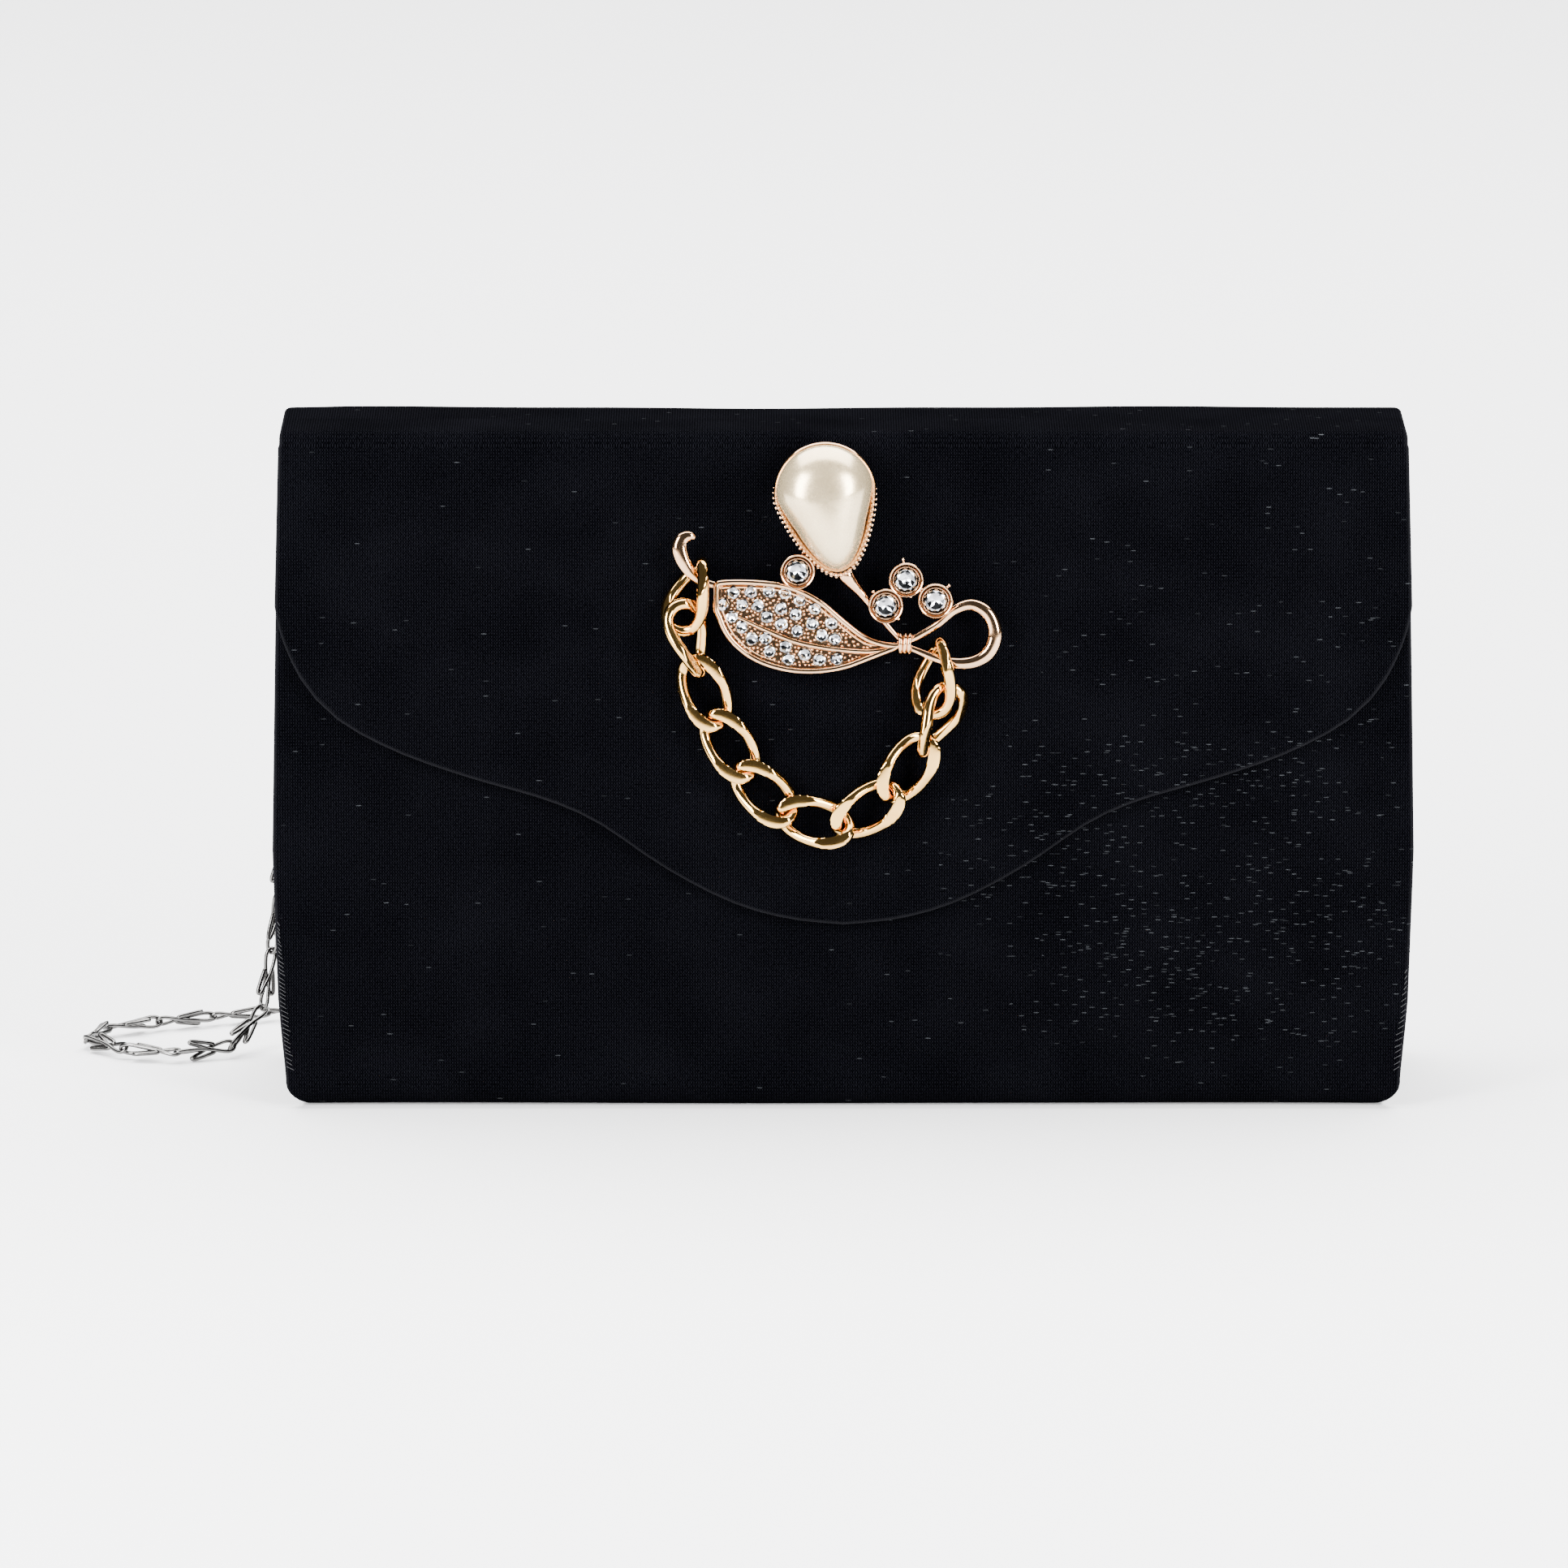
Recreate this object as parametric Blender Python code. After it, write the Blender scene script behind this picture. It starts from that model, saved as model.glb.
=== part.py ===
"""Evening bag: a fabric clutch with an ogee flap, a jewelled brooch and a chain strap.

Units are millimetres in the constants and metres in the scene.  X runs along the width,
+Y goes to the back and +Z up.  The origin is the centre of the flat underside.
The front and the flap are drawn in a leaning plane with coordinates (u, v, w): u along X,
v up the leaning face from the front bottom edge, w outward from the face.
"""
import math

import bmesh
import bpy
from mathutils import Matrix, Vector

MM = 0.001
GAP = 0.3                       # space between pieces that touch on the real bag

# Body
DEPTH = 50.0                    # front to back at the base
PANEL = 3.0                     # fabric over board
CORNER = 6.0                    # radius along the bottom edges
FRONT_LEAN = math.radians(4.76)
BACK_LEAN = math.radians(5.05)
HALF_WIDTHS = ((6.0, 107.6), (20.0, 109.0), (50.0, 110.0), (95.0, 109.2), (132.0, 108.2))
TOP_Z = 130.2                   # height of both fold lines
SPINE_RADIUS = 1.2
HINGE_GAP = SPINE_RADIUS + GAP
BACK_AXIS_T = 1.5               # back fold line, inward from the back face
FRONT_AXIS_W = 1.9              # front fold line, outward from the front face
FRONT_TOP_V = 127.5
LINING = 0.8
LINING_HALF = 101.5
GUSSET = 1.4
GUSSET_EDGE = 105.0
GUSSET_FOLD_LOW = 3.0
GUSSET_FOLD_HIGH = 12.0

# Flap
FACING_W = (0.5, 1.1)
FLAP_W = (1.4, 3.2)
FLAP_OUTLINE = ((108.6, 128.0), (109.3, 98.0), (108.3, 93.0), (105.8, 86.6), (101.8, 80.4),
                (95.5, 74.8), (85.0, 69.4), (72.0, 64.8), (57.0, 60.4), (47.0, 55.9),
                (34.5, 47.4), (22.0, 40.8), (11.0, 37.5), (0.0, 36.3))
SNAP_V = 49.0
SNAP_RADIUS = 7.0

# Brooch, standing off the flap on posts
BROOCH_W = 6.2
WIRE_W = 7.3
LEAF_OUTLINE = ((-24.8, 98.1), (-24.8, 102.6), (-23.6, 103.4), (-17.4, 103.5), (-10.5, 102.6),
                (-4.7, 99.9), (0.0, 95.9), (4.1, 92.7), (7.5, 91.3), (10.1, 91.2),
                (10.1, 90.5), (5.2, 88.5), (0.0, 86.6), (-5.8, 85.8), (-11.6, 86.3),
                (-17.4, 88.3), (-22.1, 92.4))
LEAF_RIM = 1.1
LEAF_BROAD_END = 5.0            # the tip beyond this is too narrow for stones
CURL = ((-23.6, 102.0, 0.7), (-25.4, 102.4, 0.75), (-27.6, 103.6, 0.95), (-29.6, 105.4, 1.15),
        (-31.8, 107.6, 1.45), (-32.9, 110.0, 1.3), (-31.4, 111.9, 1.0), (-28.8, 111.5, 0.7))
LOOP = ((13.3, 92.4, 6.4, 0.65), (17.4, 94.9, 6.4, 0.7), (21.0, 98.0, 6.6, 0.75),
        (24.4, 98.9, 6.9, 0.9), (28.2, 97.2, 7.2, 1.0), (30.0, 93.4, 7.3, 1.0),
        (29.6, 89.9, 7.3, 1.0), (27.2, 87.6, 7.3, 1.0), (22.0, 86.8, 7.3, 1.0),
        (17.5, 88.0, 7.2, 0.8), (13.3, 90.1, 6.8, 0.65))
BINDING = (11.7, 91.3, 6.9)
BINDING_LENGTH = 2.4
BINDING_RADIUS = 1.9
PEARL_CENTRE = (-3.5, 120.4)
PEARL_TIP = (-0.6, 105.1)
CUP_RADIUS = 9.8
CUP_WALL = 0.6
CUP_W = (6.2, 9.4)
PEARL_DOME = 6.6
PEARL_STEM = ((-0.4, 106.2, 6.6, 0.35), (1.2, 103.6, 6.9, 1.4), (3.4, 101.2, 6.5, 1.1),
              (6.4, 97.3, 6.3, 0.9), (9.6, 93.4, 6.4, 0.85))
SETTING_RADIUS = 3.05
SETTING_W = 7.7
SETTINGS = {"single": (-8.9, 105.9), "cluster_top": (12.3, 104.1),
            "cluster_left": (8.3, 99.1), "cluster_right": (17.6, 100.1)}
STONE_RADIUS = 2.35
POST_RADIUS = 0.8
POSTS = {"leaf_left": (-18.0, 97.0), "leaf_right": (-2.0, 92.0), "pearl": (-3.5, 119.0)}
NUT_W = (1.45, 2.0)

# Draped curb chain: centre u, v, w and heading, lift and roll in degrees of each link
LINK_LENGTH = 6.9
LINK_WIDTH = 3.8
LINK_TWIST = 1.5
LINK_WIRE = 1.0
LINKS = ((-29.5, 100.5, 7.7, -111, -1, -44), (-29.5, 92.4, 8.2, -74, -2, 49),
         (-26.6, 81.9, 6.8, -69, 0, 0), (-21.8, 71.6, 6.6, -58, 1, 0),
         (-15.2, 62.4, 6.7, -44, 2, 0), (-5.5, 56.9, 6.7, -15, 5, 2),
         (4.7, 59.1, 6.6, 33, 4, -4), (12.5, 67.2, 6.8, 56, 3, -1),
         (18.2, 76.6, 7.7, 63, -5, -48), (17.6, 84.8, 7.8, 82, -1, 42))

# Strap: a fine wire chain, 4 mm wide, from ring to ring
STRAP_RADIUS = 2.0
RING_U = 99.0
RING_V = 108.0
RING_T = -2.6
RING_RADIUS = 7.0
RING_WIRE = 0.8
STRAP_LEFT = ((-99.0, 18.9, 98.4), (-100.3, 20.5, 89), (-103, 22.2, 76), (-106.3, 23.6, 60),
              (-109.4, 25.2, 42), (-111.8, 26.2, 24), (-113.2, 25.8, 12),
              (-115.6, 22.6, 4.6), (-120.6, 17.6, 2.3), (-127.5, 14.6, 2.1),
              (-135.5, 14.4, 2.1), (-143, 19, 2.1), (-149.2, 26.8, 2.1),
              (-146.6, 34.6, 2.1), (-137, 40.2, 2.1), (-127, 44.6, 2.1), (-116, 49, 2.1),
              (-102, 52.4, 2.1), (-86, 52.8, 2.1), (-67, 49.8, 2.1), (-45, 42.6, 2.1),
              (-26, 36.2, 2.1), (-14, 34.1, 2.1), (-4.8, 33.85, 2.1))
STRAP_RIGHT = ((24.8, 33.85, 6.2), (34, 34.2, 4.4), (44, 35.8, 2.5), (56, 38, 2.1),
               (72, 39.2, 2.1), (87, 37.2, 2.1), (97, 33.2, 2.3), (103, 29.8, 5.0),
               (105.4, 28.2, 13), (105.2, 27.0, 27), (104.0, 25.6, 44), (102.4, 23.9, 62),
               (100.9, 22.2, 78), (99.5, 20.4, 90), (99.0, 18.9, 98.4))
STRAP_STEP = 9.0
COIL_CENTRE = (10.0, 58.0)
COIL_RADIUS = 22.0
COIL_HALF = 4.3
COIL_BOTTOM = 0.1
COIL_TOP = 8.4


# ---------------------------------------------------------------- scene helpers

def clear_scene():
    for obj in list(bpy.data.objects):
        bpy.data.objects.remove(obj, do_unlink=True)


def material(name, colour, roughness, metallic):
    mat = bpy.data.materials.new(name)
    mat.use_nodes = True
    shader = mat.node_tree.nodes["Principled BSDF"]
    shader.inputs["Base Color"].default_value = (*colour, 1.0)
    shader.inputs["Roughness"].default_value = roughness
    shader.inputs["Metallic"].default_value = metallic
    mat.diffuse_color = (*colour, 1.0)
    return mat


def add_empty(name, matrix):
    empty = bpy.data.objects.new(name, None)
    bpy.context.scene.collection.objects.link(empty)
    empty.matrix_world = matrix
    return empty


def add_object(name, mesh, mat, frame, to_frame=None):
    """Link a mesh given in millimetres, its vertices mapped by to_frame, under an empty."""
    if to_frame is not None:
        mesh.transform(to_frame)
    mesh.transform(Matrix.Scale(MM, 4))
    mesh.materials.append(mat)
    mesh.shade_smooth()
    mesh.set_sharp_from_angle(angle=math.radians(35))
    obj = bpy.data.objects.new(name, mesh)
    bpy.context.scene.collection.objects.link(obj)
    obj.parent = frame
    return obj


def boolean(obj, operation, tool_mesh, to_frame=None):
    """Cut or join with a hidden tool that shares the object's frame."""
    name = f"{obj.name}_{operation.lower()}_{len(obj.modifiers)}"
    tool = add_object(name, tool_mesh, obj.data.materials[0], obj.parent, to_frame)
    tool.hide_render = True
    tool.display_type = "WIRE"
    modifier = obj.modifiers.new(name, "BOOLEAN")
    modifier.operation = operation
    modifier.object = tool
    modifier.solver = "EXACT"


# ---------------------------------------------------------------- shape helpers

def loft(name, rings, closed=False):
    """Skin equal rings of points; the ends are capped unless the loft closes on itself."""
    bm = bmesh.new()
    loops = [[bm.verts.new(point) for point in ring] for ring in rings]
    pairs = list(zip(loops, loops[1:]))
    if closed:
        pairs.append((loops[-1], loops[0]))
    count = len(loops[0])
    for low, high in pairs:
        for i in range(count):
            j = (i + 1) % count
            bm.faces.new((low[i], low[j], high[j], high[i]))
    if not closed:
        bm.faces.new(list(reversed(loops[0])))
        bm.faces.new(loops[-1])
    bmesh.ops.recalc_face_normals(bm, faces=bm.faces)
    if bm.calc_volume(signed=True) < 0:
        bmesh.ops.reverse_faces(bm, faces=bm.faces)
    mesh = bpy.data.meshes.new(name)
    bm.to_mesh(mesh)
    bm.free()
    return mesh


def prism(name, outline, low, high):
    """An outline in the first two coordinates, extruded along the third."""
    return loft(name, [[(x, y, low) for x, y in outline], [(x, y, high) for x, y in outline]])


def bar(name, profile, half_width):
    """A profile of (y, z) points extruded along X."""
    return loft(name, [[(x, y, z) for y, z in profile] for x in (-half_width, half_width)])


def turned(name, profile, centre, steps=20, base=0.0):
    """Turn (radius, height) pairs about an axis along the third coordinate."""
    rings = []
    for radius, height in profile:
        angles = [2 * math.pi * i / steps for i in range(steps)]
        rings.append([(centre[0] + radius * math.cos(a), centre[1] + radius * math.sin(a),
                       base + height) for a in angles])
    return loft(name, rings)


def sweep(name, path, radii, sides=8, closed=False):
    """A round tube along a path of vectors with one radius for each point."""
    count = len(path)
    tangents = []
    for i in range(count):
        before = path[i - 1] if closed or i > 0 else path[i]
        after = path[(i + 1) % count] if closed or i < count - 1 else path[i]
        tangents.append((after - before).normalized())
    side = tangents[0].orthogonal().normalized()
    sides_along = []
    for tangent in tangents:
        side = (side - tangent * side.dot(tangent)).normalized()
        sides_along.append(side)
    turn = 0.0
    if closed:
        last = (side - tangents[0] * side.dot(tangents[0])).normalized()
        first = sides_along[0]
        turn = math.atan2(tangents[0].dot(last.cross(first)), last.dot(first))
    rings = []
    for i, (point, tangent, across) in enumerate(zip(path, tangents, sides_along)):
        other = tangent.cross(across)
        spin = turn * i / count
        ring = []
        for k in range(sides):
            angle = 2 * math.pi * k / sides + spin
            ring.append(point + radii[i] * (across * math.cos(angle) + other * math.sin(angle)))
        rings.append(ring)
    return loft(name, rings, closed)


def smooth_path(points, parts):
    """Catmull-Rom curve through tuples of any length, with parts steps between points."""
    ends = [points[0]] + list(points) + [points[-1]]
    result = []
    for i in range(1, len(ends) - 2):
        a, b, c, d = ends[i - 1:i + 3]
        for k in range(parts):
            t = k / parts
            weights = (-0.5 * t + t * t - 0.5 * t ** 3, 1 - 2.5 * t * t + 1.5 * t ** 3,
                       0.5 * t + 2 * t * t - 1.5 * t ** 3, -0.5 * t * t + 0.5 * t ** 3)
            result.append(tuple(sum(q * w for q, w in zip(column, weights))
                                for column in zip(a, b, c, d)))
    result.append(tuple(points[-1]))
    return result


def inset(outline, amount):
    """Move each point of a closed outline inward by amount along its bisector."""
    area = sum(a[0] * b[1] - b[0] * a[1] for a, b in zip(outline, outline[1:] + outline[:1]))
    sign = 1.0 if area > 0 else -1.0
    moved = []
    for i, (x, y) in enumerate(outline):
        before = Vector(outline[i - 1])
        after = Vector(outline[(i + 1) % len(outline)])
        along = (after - before).normalized()
        moved.append((x - sign * amount * along.y, y + sign * amount * along.x))
    return moved


def half_width(v):
    for (v0, w0), (v1, w1) in zip(HALF_WIDTHS, HALF_WIDTHS[1:]):
        if v <= v1:
            return w0 + (w1 - w0) * max(v - v0, 0.0) / (v1 - v0)
    return HALF_WIDTHS[-1][1]


def panel_outline(low, high, less=0.0):
    heights = [low] + [v for v, _ in HALF_WIDTHS if low < v < high] + [high]
    right = [(half_width(v) - less, v) for v in heights]
    left = [(-x, v) for x, v in reversed(right)]
    return right + left


# ---------------------------------------------------------------- frames

def face_frame(y, angle):
    return Matrix.Translation((0, y * MM, 0)) @ Matrix.Rotation(angle, 4, "X")


FRONT_FACE = face_frame(-DEPTH / 2, math.pi / 2 - FRONT_LEAN)
BACK_FACE = face_frame(DEPTH / 2, math.pi / 2 + BACK_LEAN)
FRONT_AXIS_V = (TOP_Z - FRONT_AXIS_W * math.sin(FRONT_LEAN)) / math.cos(FRONT_LEAN)
BACK_AXIS_V = (TOP_Z + BACK_AXIS_T * math.sin(BACK_LEAN)) / math.cos(BACK_LEAN)
FLAP_SHIFT = Vector((0, FRONT_AXIS_V, FRONT_AXIS_W))
FRONT_SHIFT = Vector((0, CORNER, -PANEL / 2))
CHAIN_LEFT = Vector((-27.8, 103.8, WIRE_W))
CHAIN_RIGHT = Vector((18.0, 87.8, WIRE_W))


def shifted(face, shift):
    """The face's frame moved so that its origin lies at a point (u, v, w) of the face."""
    return face @ Matrix.Translation(shift * MM)


# ---------------------------------------------------------------- the fabric body

def make_bottom(fabric, lining, root):
    inner = CORNER - PANEL
    edge = DEPTH / 2 - CORNER
    steps = [math.radians(15 * i) for i in range(7)]
    outside = [(edge + CORNER * math.sin(a), CORNER - CORNER * math.cos(a)) for a in steps]
    inside = [(edge + inner * math.sin(a), CORNER - inner * math.cos(a)) for a in steps]
    outside[-1] = (outside[-1][0], CORNER - GAP)
    inside[-1] = (inside[-1][0], CORNER - GAP)
    right = outside + list(reversed(inside))
    left_in = [(-y, z) for y, z in inside]
    left_out = [(-y, z) for y, z in reversed(outside)]
    add_object("bottom_panel", bar("bottom_panel", right + left_in + left_out,
                                   HALF_WIDTHS[0][1]), fabric, root)
    low = PANEL + GAP
    board = [(-17.0, low), (17.0, low), (17.0, low + LINING), (-17.0, low + LINING)]
    add_object("lining_bottom", bar("lining_bottom", board, LINING_HALF - 1.0), lining, root)


def make_back(fabric, lining, back):
    outline = panel_outline(CORNER, BACK_AXIS_V - HINGE_GAP)
    add_object("back_panel", prism("back_panel", outline, 0.0, PANEL), fabric, back)
    low = PANEL + GAP
    sheet = [(x, v) for v in (CORNER + 1, FRONT_TOP_V - 2) for x in (-LINING_HALF, LINING_HALF)]
    sheet = [sheet[0], sheet[1], sheet[3], sheet[2]]
    add_object("lining_back", prism("lining_back", sheet, low, low + LINING), lining, back)
    low += LINING + GAP
    pocket = [(-45, 40), (45, 40), (45, 100), (-45, 100)]
    add_object("slip_pocket", prism("slip_pocket", pocket, low, low + LINING), lining, back)


def make_front(fabric, lining, metal, front):
    move = Matrix.Translation(-FRONT_SHIFT)
    outline = panel_outline(CORNER, FRONT_TOP_V)
    panel = add_object("front_panel", prism("front_panel", outline, -PANEL, 0.0), fabric,
                       front, move)
    centre = (0.0, SNAP_V)
    well = SNAP_RADIUS + GAP
    boolean(panel, "DIFFERENCE", turned("well", [(well, -1.9), (well, 1.0)], centre), move)
    rear = SNAP_RADIUS + 1.0
    boolean(panel, "DIFFERENCE",
            turned("rear", [(rear + GAP, -4.0), (rear + GAP, -2.4)], centre), move)
    plate = [(rear, -3.0), (rear, -2.7)]
    add_object("snap_backplate", turned("snap_backplate", plate, centre), metal, front, move)
    cup = [(SNAP_RADIUS, -1.6), (SNAP_RADIUS, 0.1), (2.6, 0.1), (2.6, -1.2)]
    add_object("snap_socket", turned("snap_socket", cup, centre), metal, front, move)
    sheet = [(-LINING_HALF, 7), (LINING_HALF, 7), (LINING_HALF, 125), (-LINING_HALF, 125)]
    low = -PANEL - GAP - LINING
    add_object("lining_front", prism("lining_front", sheet, low, low + LINING), lining,
               front, move)


def make_gusset(name, side, fabric, root):
    """A side wall folded inward like a bellows, shallow at the base and deep at the mouth."""
    rings = []
    for z, fold in ((CORNER + GAP, GUSSET_FOLD_LOW), (FRONT_TOP_V - 1.0, GUSSET_FOLD_HIGH)):
        front = -DEPTH / 2 + z * math.tan(FRONT_LEAN) + PANEL / math.cos(FRONT_LEAN) + GAP
        rear = DEPTH / 2 - z * math.tan(BACK_LEAN) - PANEL / math.cos(BACK_LEAN) - GAP
        middle = (front + rear) / 2
        outer = [(GUSSET_EDGE, front), (GUSSET_EDGE - fold, middle), (GUSSET_EDGE, rear)]
        inner = [(x - GUSSET, y) for x, y in reversed(outer)]
        rings.append([(side * x, y, z) for x, y in outer + inner])
    add_object(name, loft(name, rings), fabric, root)


def make_spine(fabric, spine):
    front_y = (FRONT_FACE @ Vector((0, FRONT_AXIS_V * MM, FRONT_AXIS_W * MM))).y / MM
    rear_y = (BACK_FACE @ Vector((0, BACK_AXIS_V * MM, BACK_AXIS_T * MM))).y / MM
    length = rear_y - front_y
    profile = []
    for i in range(9):
        angle = -math.pi / 2 + math.pi * i / 8
        profile.append((SPINE_RADIUS * math.cos(angle), SPINE_RADIUS * math.sin(angle)))
    for i in range(9):
        angle = math.pi / 2 + math.pi * i / 8
        profile.append((-length + SPINE_RADIUS * math.cos(angle), SPINE_RADIUS * math.sin(angle)))
    add_object("spine_strip", bar("spine_strip", profile, HALF_WIDTHS[-1][1]), fabric, spine)


# ---------------------------------------------------------------- the flap

def flap_outline(less):
    """The flap's outline, an S curve each side that meets in a shallow point."""
    top = FRONT_AXIS_V - HINGE_GAP
    curve = smooth_path(FLAP_OUTLINE[1:], 2)
    right = [(FLAP_OUTLINE[0][0], top)] + curve
    left = [(-x, v) for x, v in reversed(right[:-1])]
    outline = right + left
    if less:
        outline = inset(outline, less)
        outline[0] = (outline[0][0], top)
        outline[-1] = (outline[-1][0], top)
    return outline


def make_flap(fabric, lining, metal, flap):
    move = Matrix.Translation(-FLAP_SHIFT)
    panel = add_object("flap_panel", prism("flap_panel", flap_outline(0.0), *FLAP_W), fabric,
                       flap, move)
    for centre in POSTS.values():
        hole = POST_RADIUS + GAP
        profile = [(3.3, 0.0), (3.3, NUT_W[1] + GAP), (hole, NUT_W[1] + GAP), (hole, 5.0)]
        boolean(panel, "DIFFERENCE", turned("post_hole", profile, centre, 14), move)
    facing = add_object("flap_facing", prism("flap_facing", flap_outline(2.0), *FACING_W),
                        lining, flap, move)
    centre = (0.0, SNAP_V)
    opening = SNAP_RADIUS + GAP
    boolean(facing, "DIFFERENCE", turned("eye", [(opening, -1.0), (opening, 2.0)], centre), move)
    stud = [(2.0, -0.9), (2.0, FACING_W[0]), (SNAP_RADIUS, FACING_W[0]),
            (SNAP_RADIUS, FACING_W[1])]
    add_object("snap_stud", turned("snap_stud", stud, centre), metal, flap, move)


# ---------------------------------------------------------------- the brooch

def teardrop(radius, less, steps=26):
    """A drop: a round end about PEARL_CENTRE drawn out to PEARL_TIP."""
    centre = Vector(PEARL_CENTRE)
    axis = Vector(PEARL_TIP) - centre
    length = axis.length - less
    axis.normalize()
    across = Vector((-axis.y, axis.x))
    points = []
    for i in range(steps):
        angle = 2 * math.pi * i / steps
        forward = math.cos(angle)
        reach = length if forward > 0 else radius - less
        width = (radius - less) * math.sin(angle) * (1 - 0.28 * max(forward, 0.0))
        point = centre + axis * (reach * forward) + across * width
        points.append((point.x, point.y))
    return points


def make_leaf(gold, flap, move):
    outline = list(LEAF_OUTLINE)
    leaf = add_object("brooch_leaf", prism("brooch_leaf", outline, BROOCH_W, BROOCH_W + 2.4),
                      gold, flap, move)
    broad = [point for point in outline if point[0] < LEAF_BROAD_END]
    pocket = inset(broad, LEAF_RIM)
    boolean(leaf, "DIFFERENCE", prism("pocket", pocket, BROOCH_W + 1.0, BROOCH_W + 5.0), move)
    curl = smooth_path(CURL, 2)
    path = [Vector((u, v, WIRE_W)) for u, v, _ in curl]
    boolean(leaf, "UNION", sweep("curl", path, [r for _, _, r in curl]), move)
    for name in ("leaf_left", "leaf_right"):
        post = [(POST_RADIUS, NUT_W[0]), (POST_RADIUS, BROOCH_W + 0.5)]
        boolean(leaf, "UNION", turned(name, post, POSTS[name], 10), move)
    return inset(broad, LEAF_RIM + GAP)


def make_brooch(gold, pearl, crystal, flap):
    move = Matrix.Translation(-FLAP_SHIFT)
    bed = make_leaf(gold, flap, move)
    add_object("leaf_stones", prism("leaf_stones", bed, BROOCH_W + 1.3, BROOCH_W + 2.8),
               crystal, flap, move)
    path = smooth_path(LOOP, 2)
    add_object("brooch_loop", sweep("brooch_loop", [Vector(p[:3]) for p in path],
                                    [p[3] for p in path]), gold, flap, move)
    make_binding(gold, flap, move)
    cup = add_object("pearl_cup", prism("pearl_cup", teardrop(CUP_RADIUS, 0.0), *CUP_W), gold,
                     flap, move)
    floor = CUP_W[0] + 1.0
    boolean(cup, "DIFFERENCE",
            prism("cup_pocket", teardrop(CUP_RADIUS, CUP_WALL), floor, 12.0), move)
    stem = smooth_path(PEARL_STEM, 2)
    boolean(cup, "UNION", sweep("stem", [Vector(p[:3]) for p in stem], [p[3] for p in stem]),
            move)
    post = [(POST_RADIUS, NUT_W[0]), (POST_RADIUS, floor - 0.4)]
    boolean(cup, "UNION", turned("cup_post", post, POSTS["pearl"], 10), move)
    make_pearl(pearl, floor + GAP, flap, move)
    for name, centre in SETTINGS.items():
        cup_profile = [(SETTING_RADIUS - 0.5, 0.0), (SETTING_RADIUS, 0.6), (SETTING_RADIUS, 2.1),
                       (STONE_RADIUS + GAP, 2.1), (STONE_RADIUS + GAP, 0.8)]
        add_object(f"setting_{name}", turned(name, cup_profile, centre, 16, SETTING_W), gold,
                   flap, move)
        stone = [(0.6, 1.1), (STONE_RADIUS, 2.1), (1.3, 2.8)]
        add_object(f"stone_{name}", turned(name, stone, centre, 12, SETTING_W), crystal,
                   flap, move)
    for name, centre in POSTS.items():
        make_nut(f"post_nut_{name}", centre, gold, flap, move)


def make_pearl(pearl, base, flap, move):
    """A domed drop whose rings shrink toward the crown."""
    levels = 6
    less = CUP_WALL + GAP
    rings = [[(x, y, base) for x, y in teardrop(CUP_RADIUS, less)]]
    rise = CUP_W[1] - base
    for i in range(levels):
        angle = math.radians(85) * i / (levels - 1)
        size = math.cos(angle)
        centre = Vector(PEARL_CENTRE)
        ring = []
        for x, y in teardrop(CUP_RADIUS, less):
            point = centre + (Vector((x, y)) - centre) * size
            ring.append((point.x, point.y, base + rise + PEARL_DOME * math.sin(angle)))
        rings.append(ring)
    add_object("pearl", loft("pearl", rings), pearl, flap, move)


def make_binding(gold, flap, move):
    """Three turns of wire drawn together, as one barrel along X."""
    rings = []
    bumps = 3
    for i in range(2 * bumps + 1):
        along = -BINDING_LENGTH / 2 + BINDING_LENGTH * i / (2 * bumps)
        radius = BINDING_RADIUS if i % 2 else BINDING_RADIUS - 0.35
        ring = []
        for k in range(10):
            angle = 2 * math.pi * k / 10
            ring.append((BINDING[0] + along, BINDING[1] + radius * math.cos(angle),
                         BINDING[2] + 0.8 * radius * math.sin(angle)))
        rings.append(ring)
    add_object("brooch_binding", loft("brooch_binding", rings), gold, flap, move)


def make_nut(name, centre, gold, flap, move):
    """A thin round fastener behind the flap's fabric, with a hole for the post."""
    low, high = NUT_W
    nut = add_object(name, turned(name, [(3.0, low), (3.0, high)], centre, 14), gold, flap, move)
    hole = POST_RADIUS + GAP
    boolean(nut, "DIFFERENCE", turned("bore", [(hole, 0.0), (hole, 3.0)], centre, 10), move)


def make_links(gold, chain, to_chain):
    """Ten twisted curb links, each passed through the next."""
    steps = 20
    for number, (u, v, w, heading, lift, roll) in enumerate(LINKS, 1):
        heading, lift, roll = (math.radians(a) for a in (heading, lift, roll))
        along = Vector((math.cos(heading) * math.cos(lift), math.sin(heading) * math.cos(lift),
                        math.sin(lift)))
        side = along.cross(Vector((0, 0, 1))).normalized()
        normal = side.cross(along)
        across = side * math.cos(roll) + normal * math.sin(roll)
        out = normal * math.cos(roll) - side * math.sin(roll)
        path = []
        for i in range(steps):
            t = 2 * math.pi * i / steps
            path.append(Vector((u, v, w)) + across * (LINK_WIDTH * math.sin(t))
                        + along * (LINK_LENGTH * math.cos(t)) + out * (LINK_TWIST * math.sin(2 * t)))
        name = f"chain_link_{number:02d}"
        mesh = sweep(name, path, [LINK_WIRE] * steps, 6, closed=True)
        add_object(name, mesh, gold, chain, to_chain)


# ---------------------------------------------------------------- the strap

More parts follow.
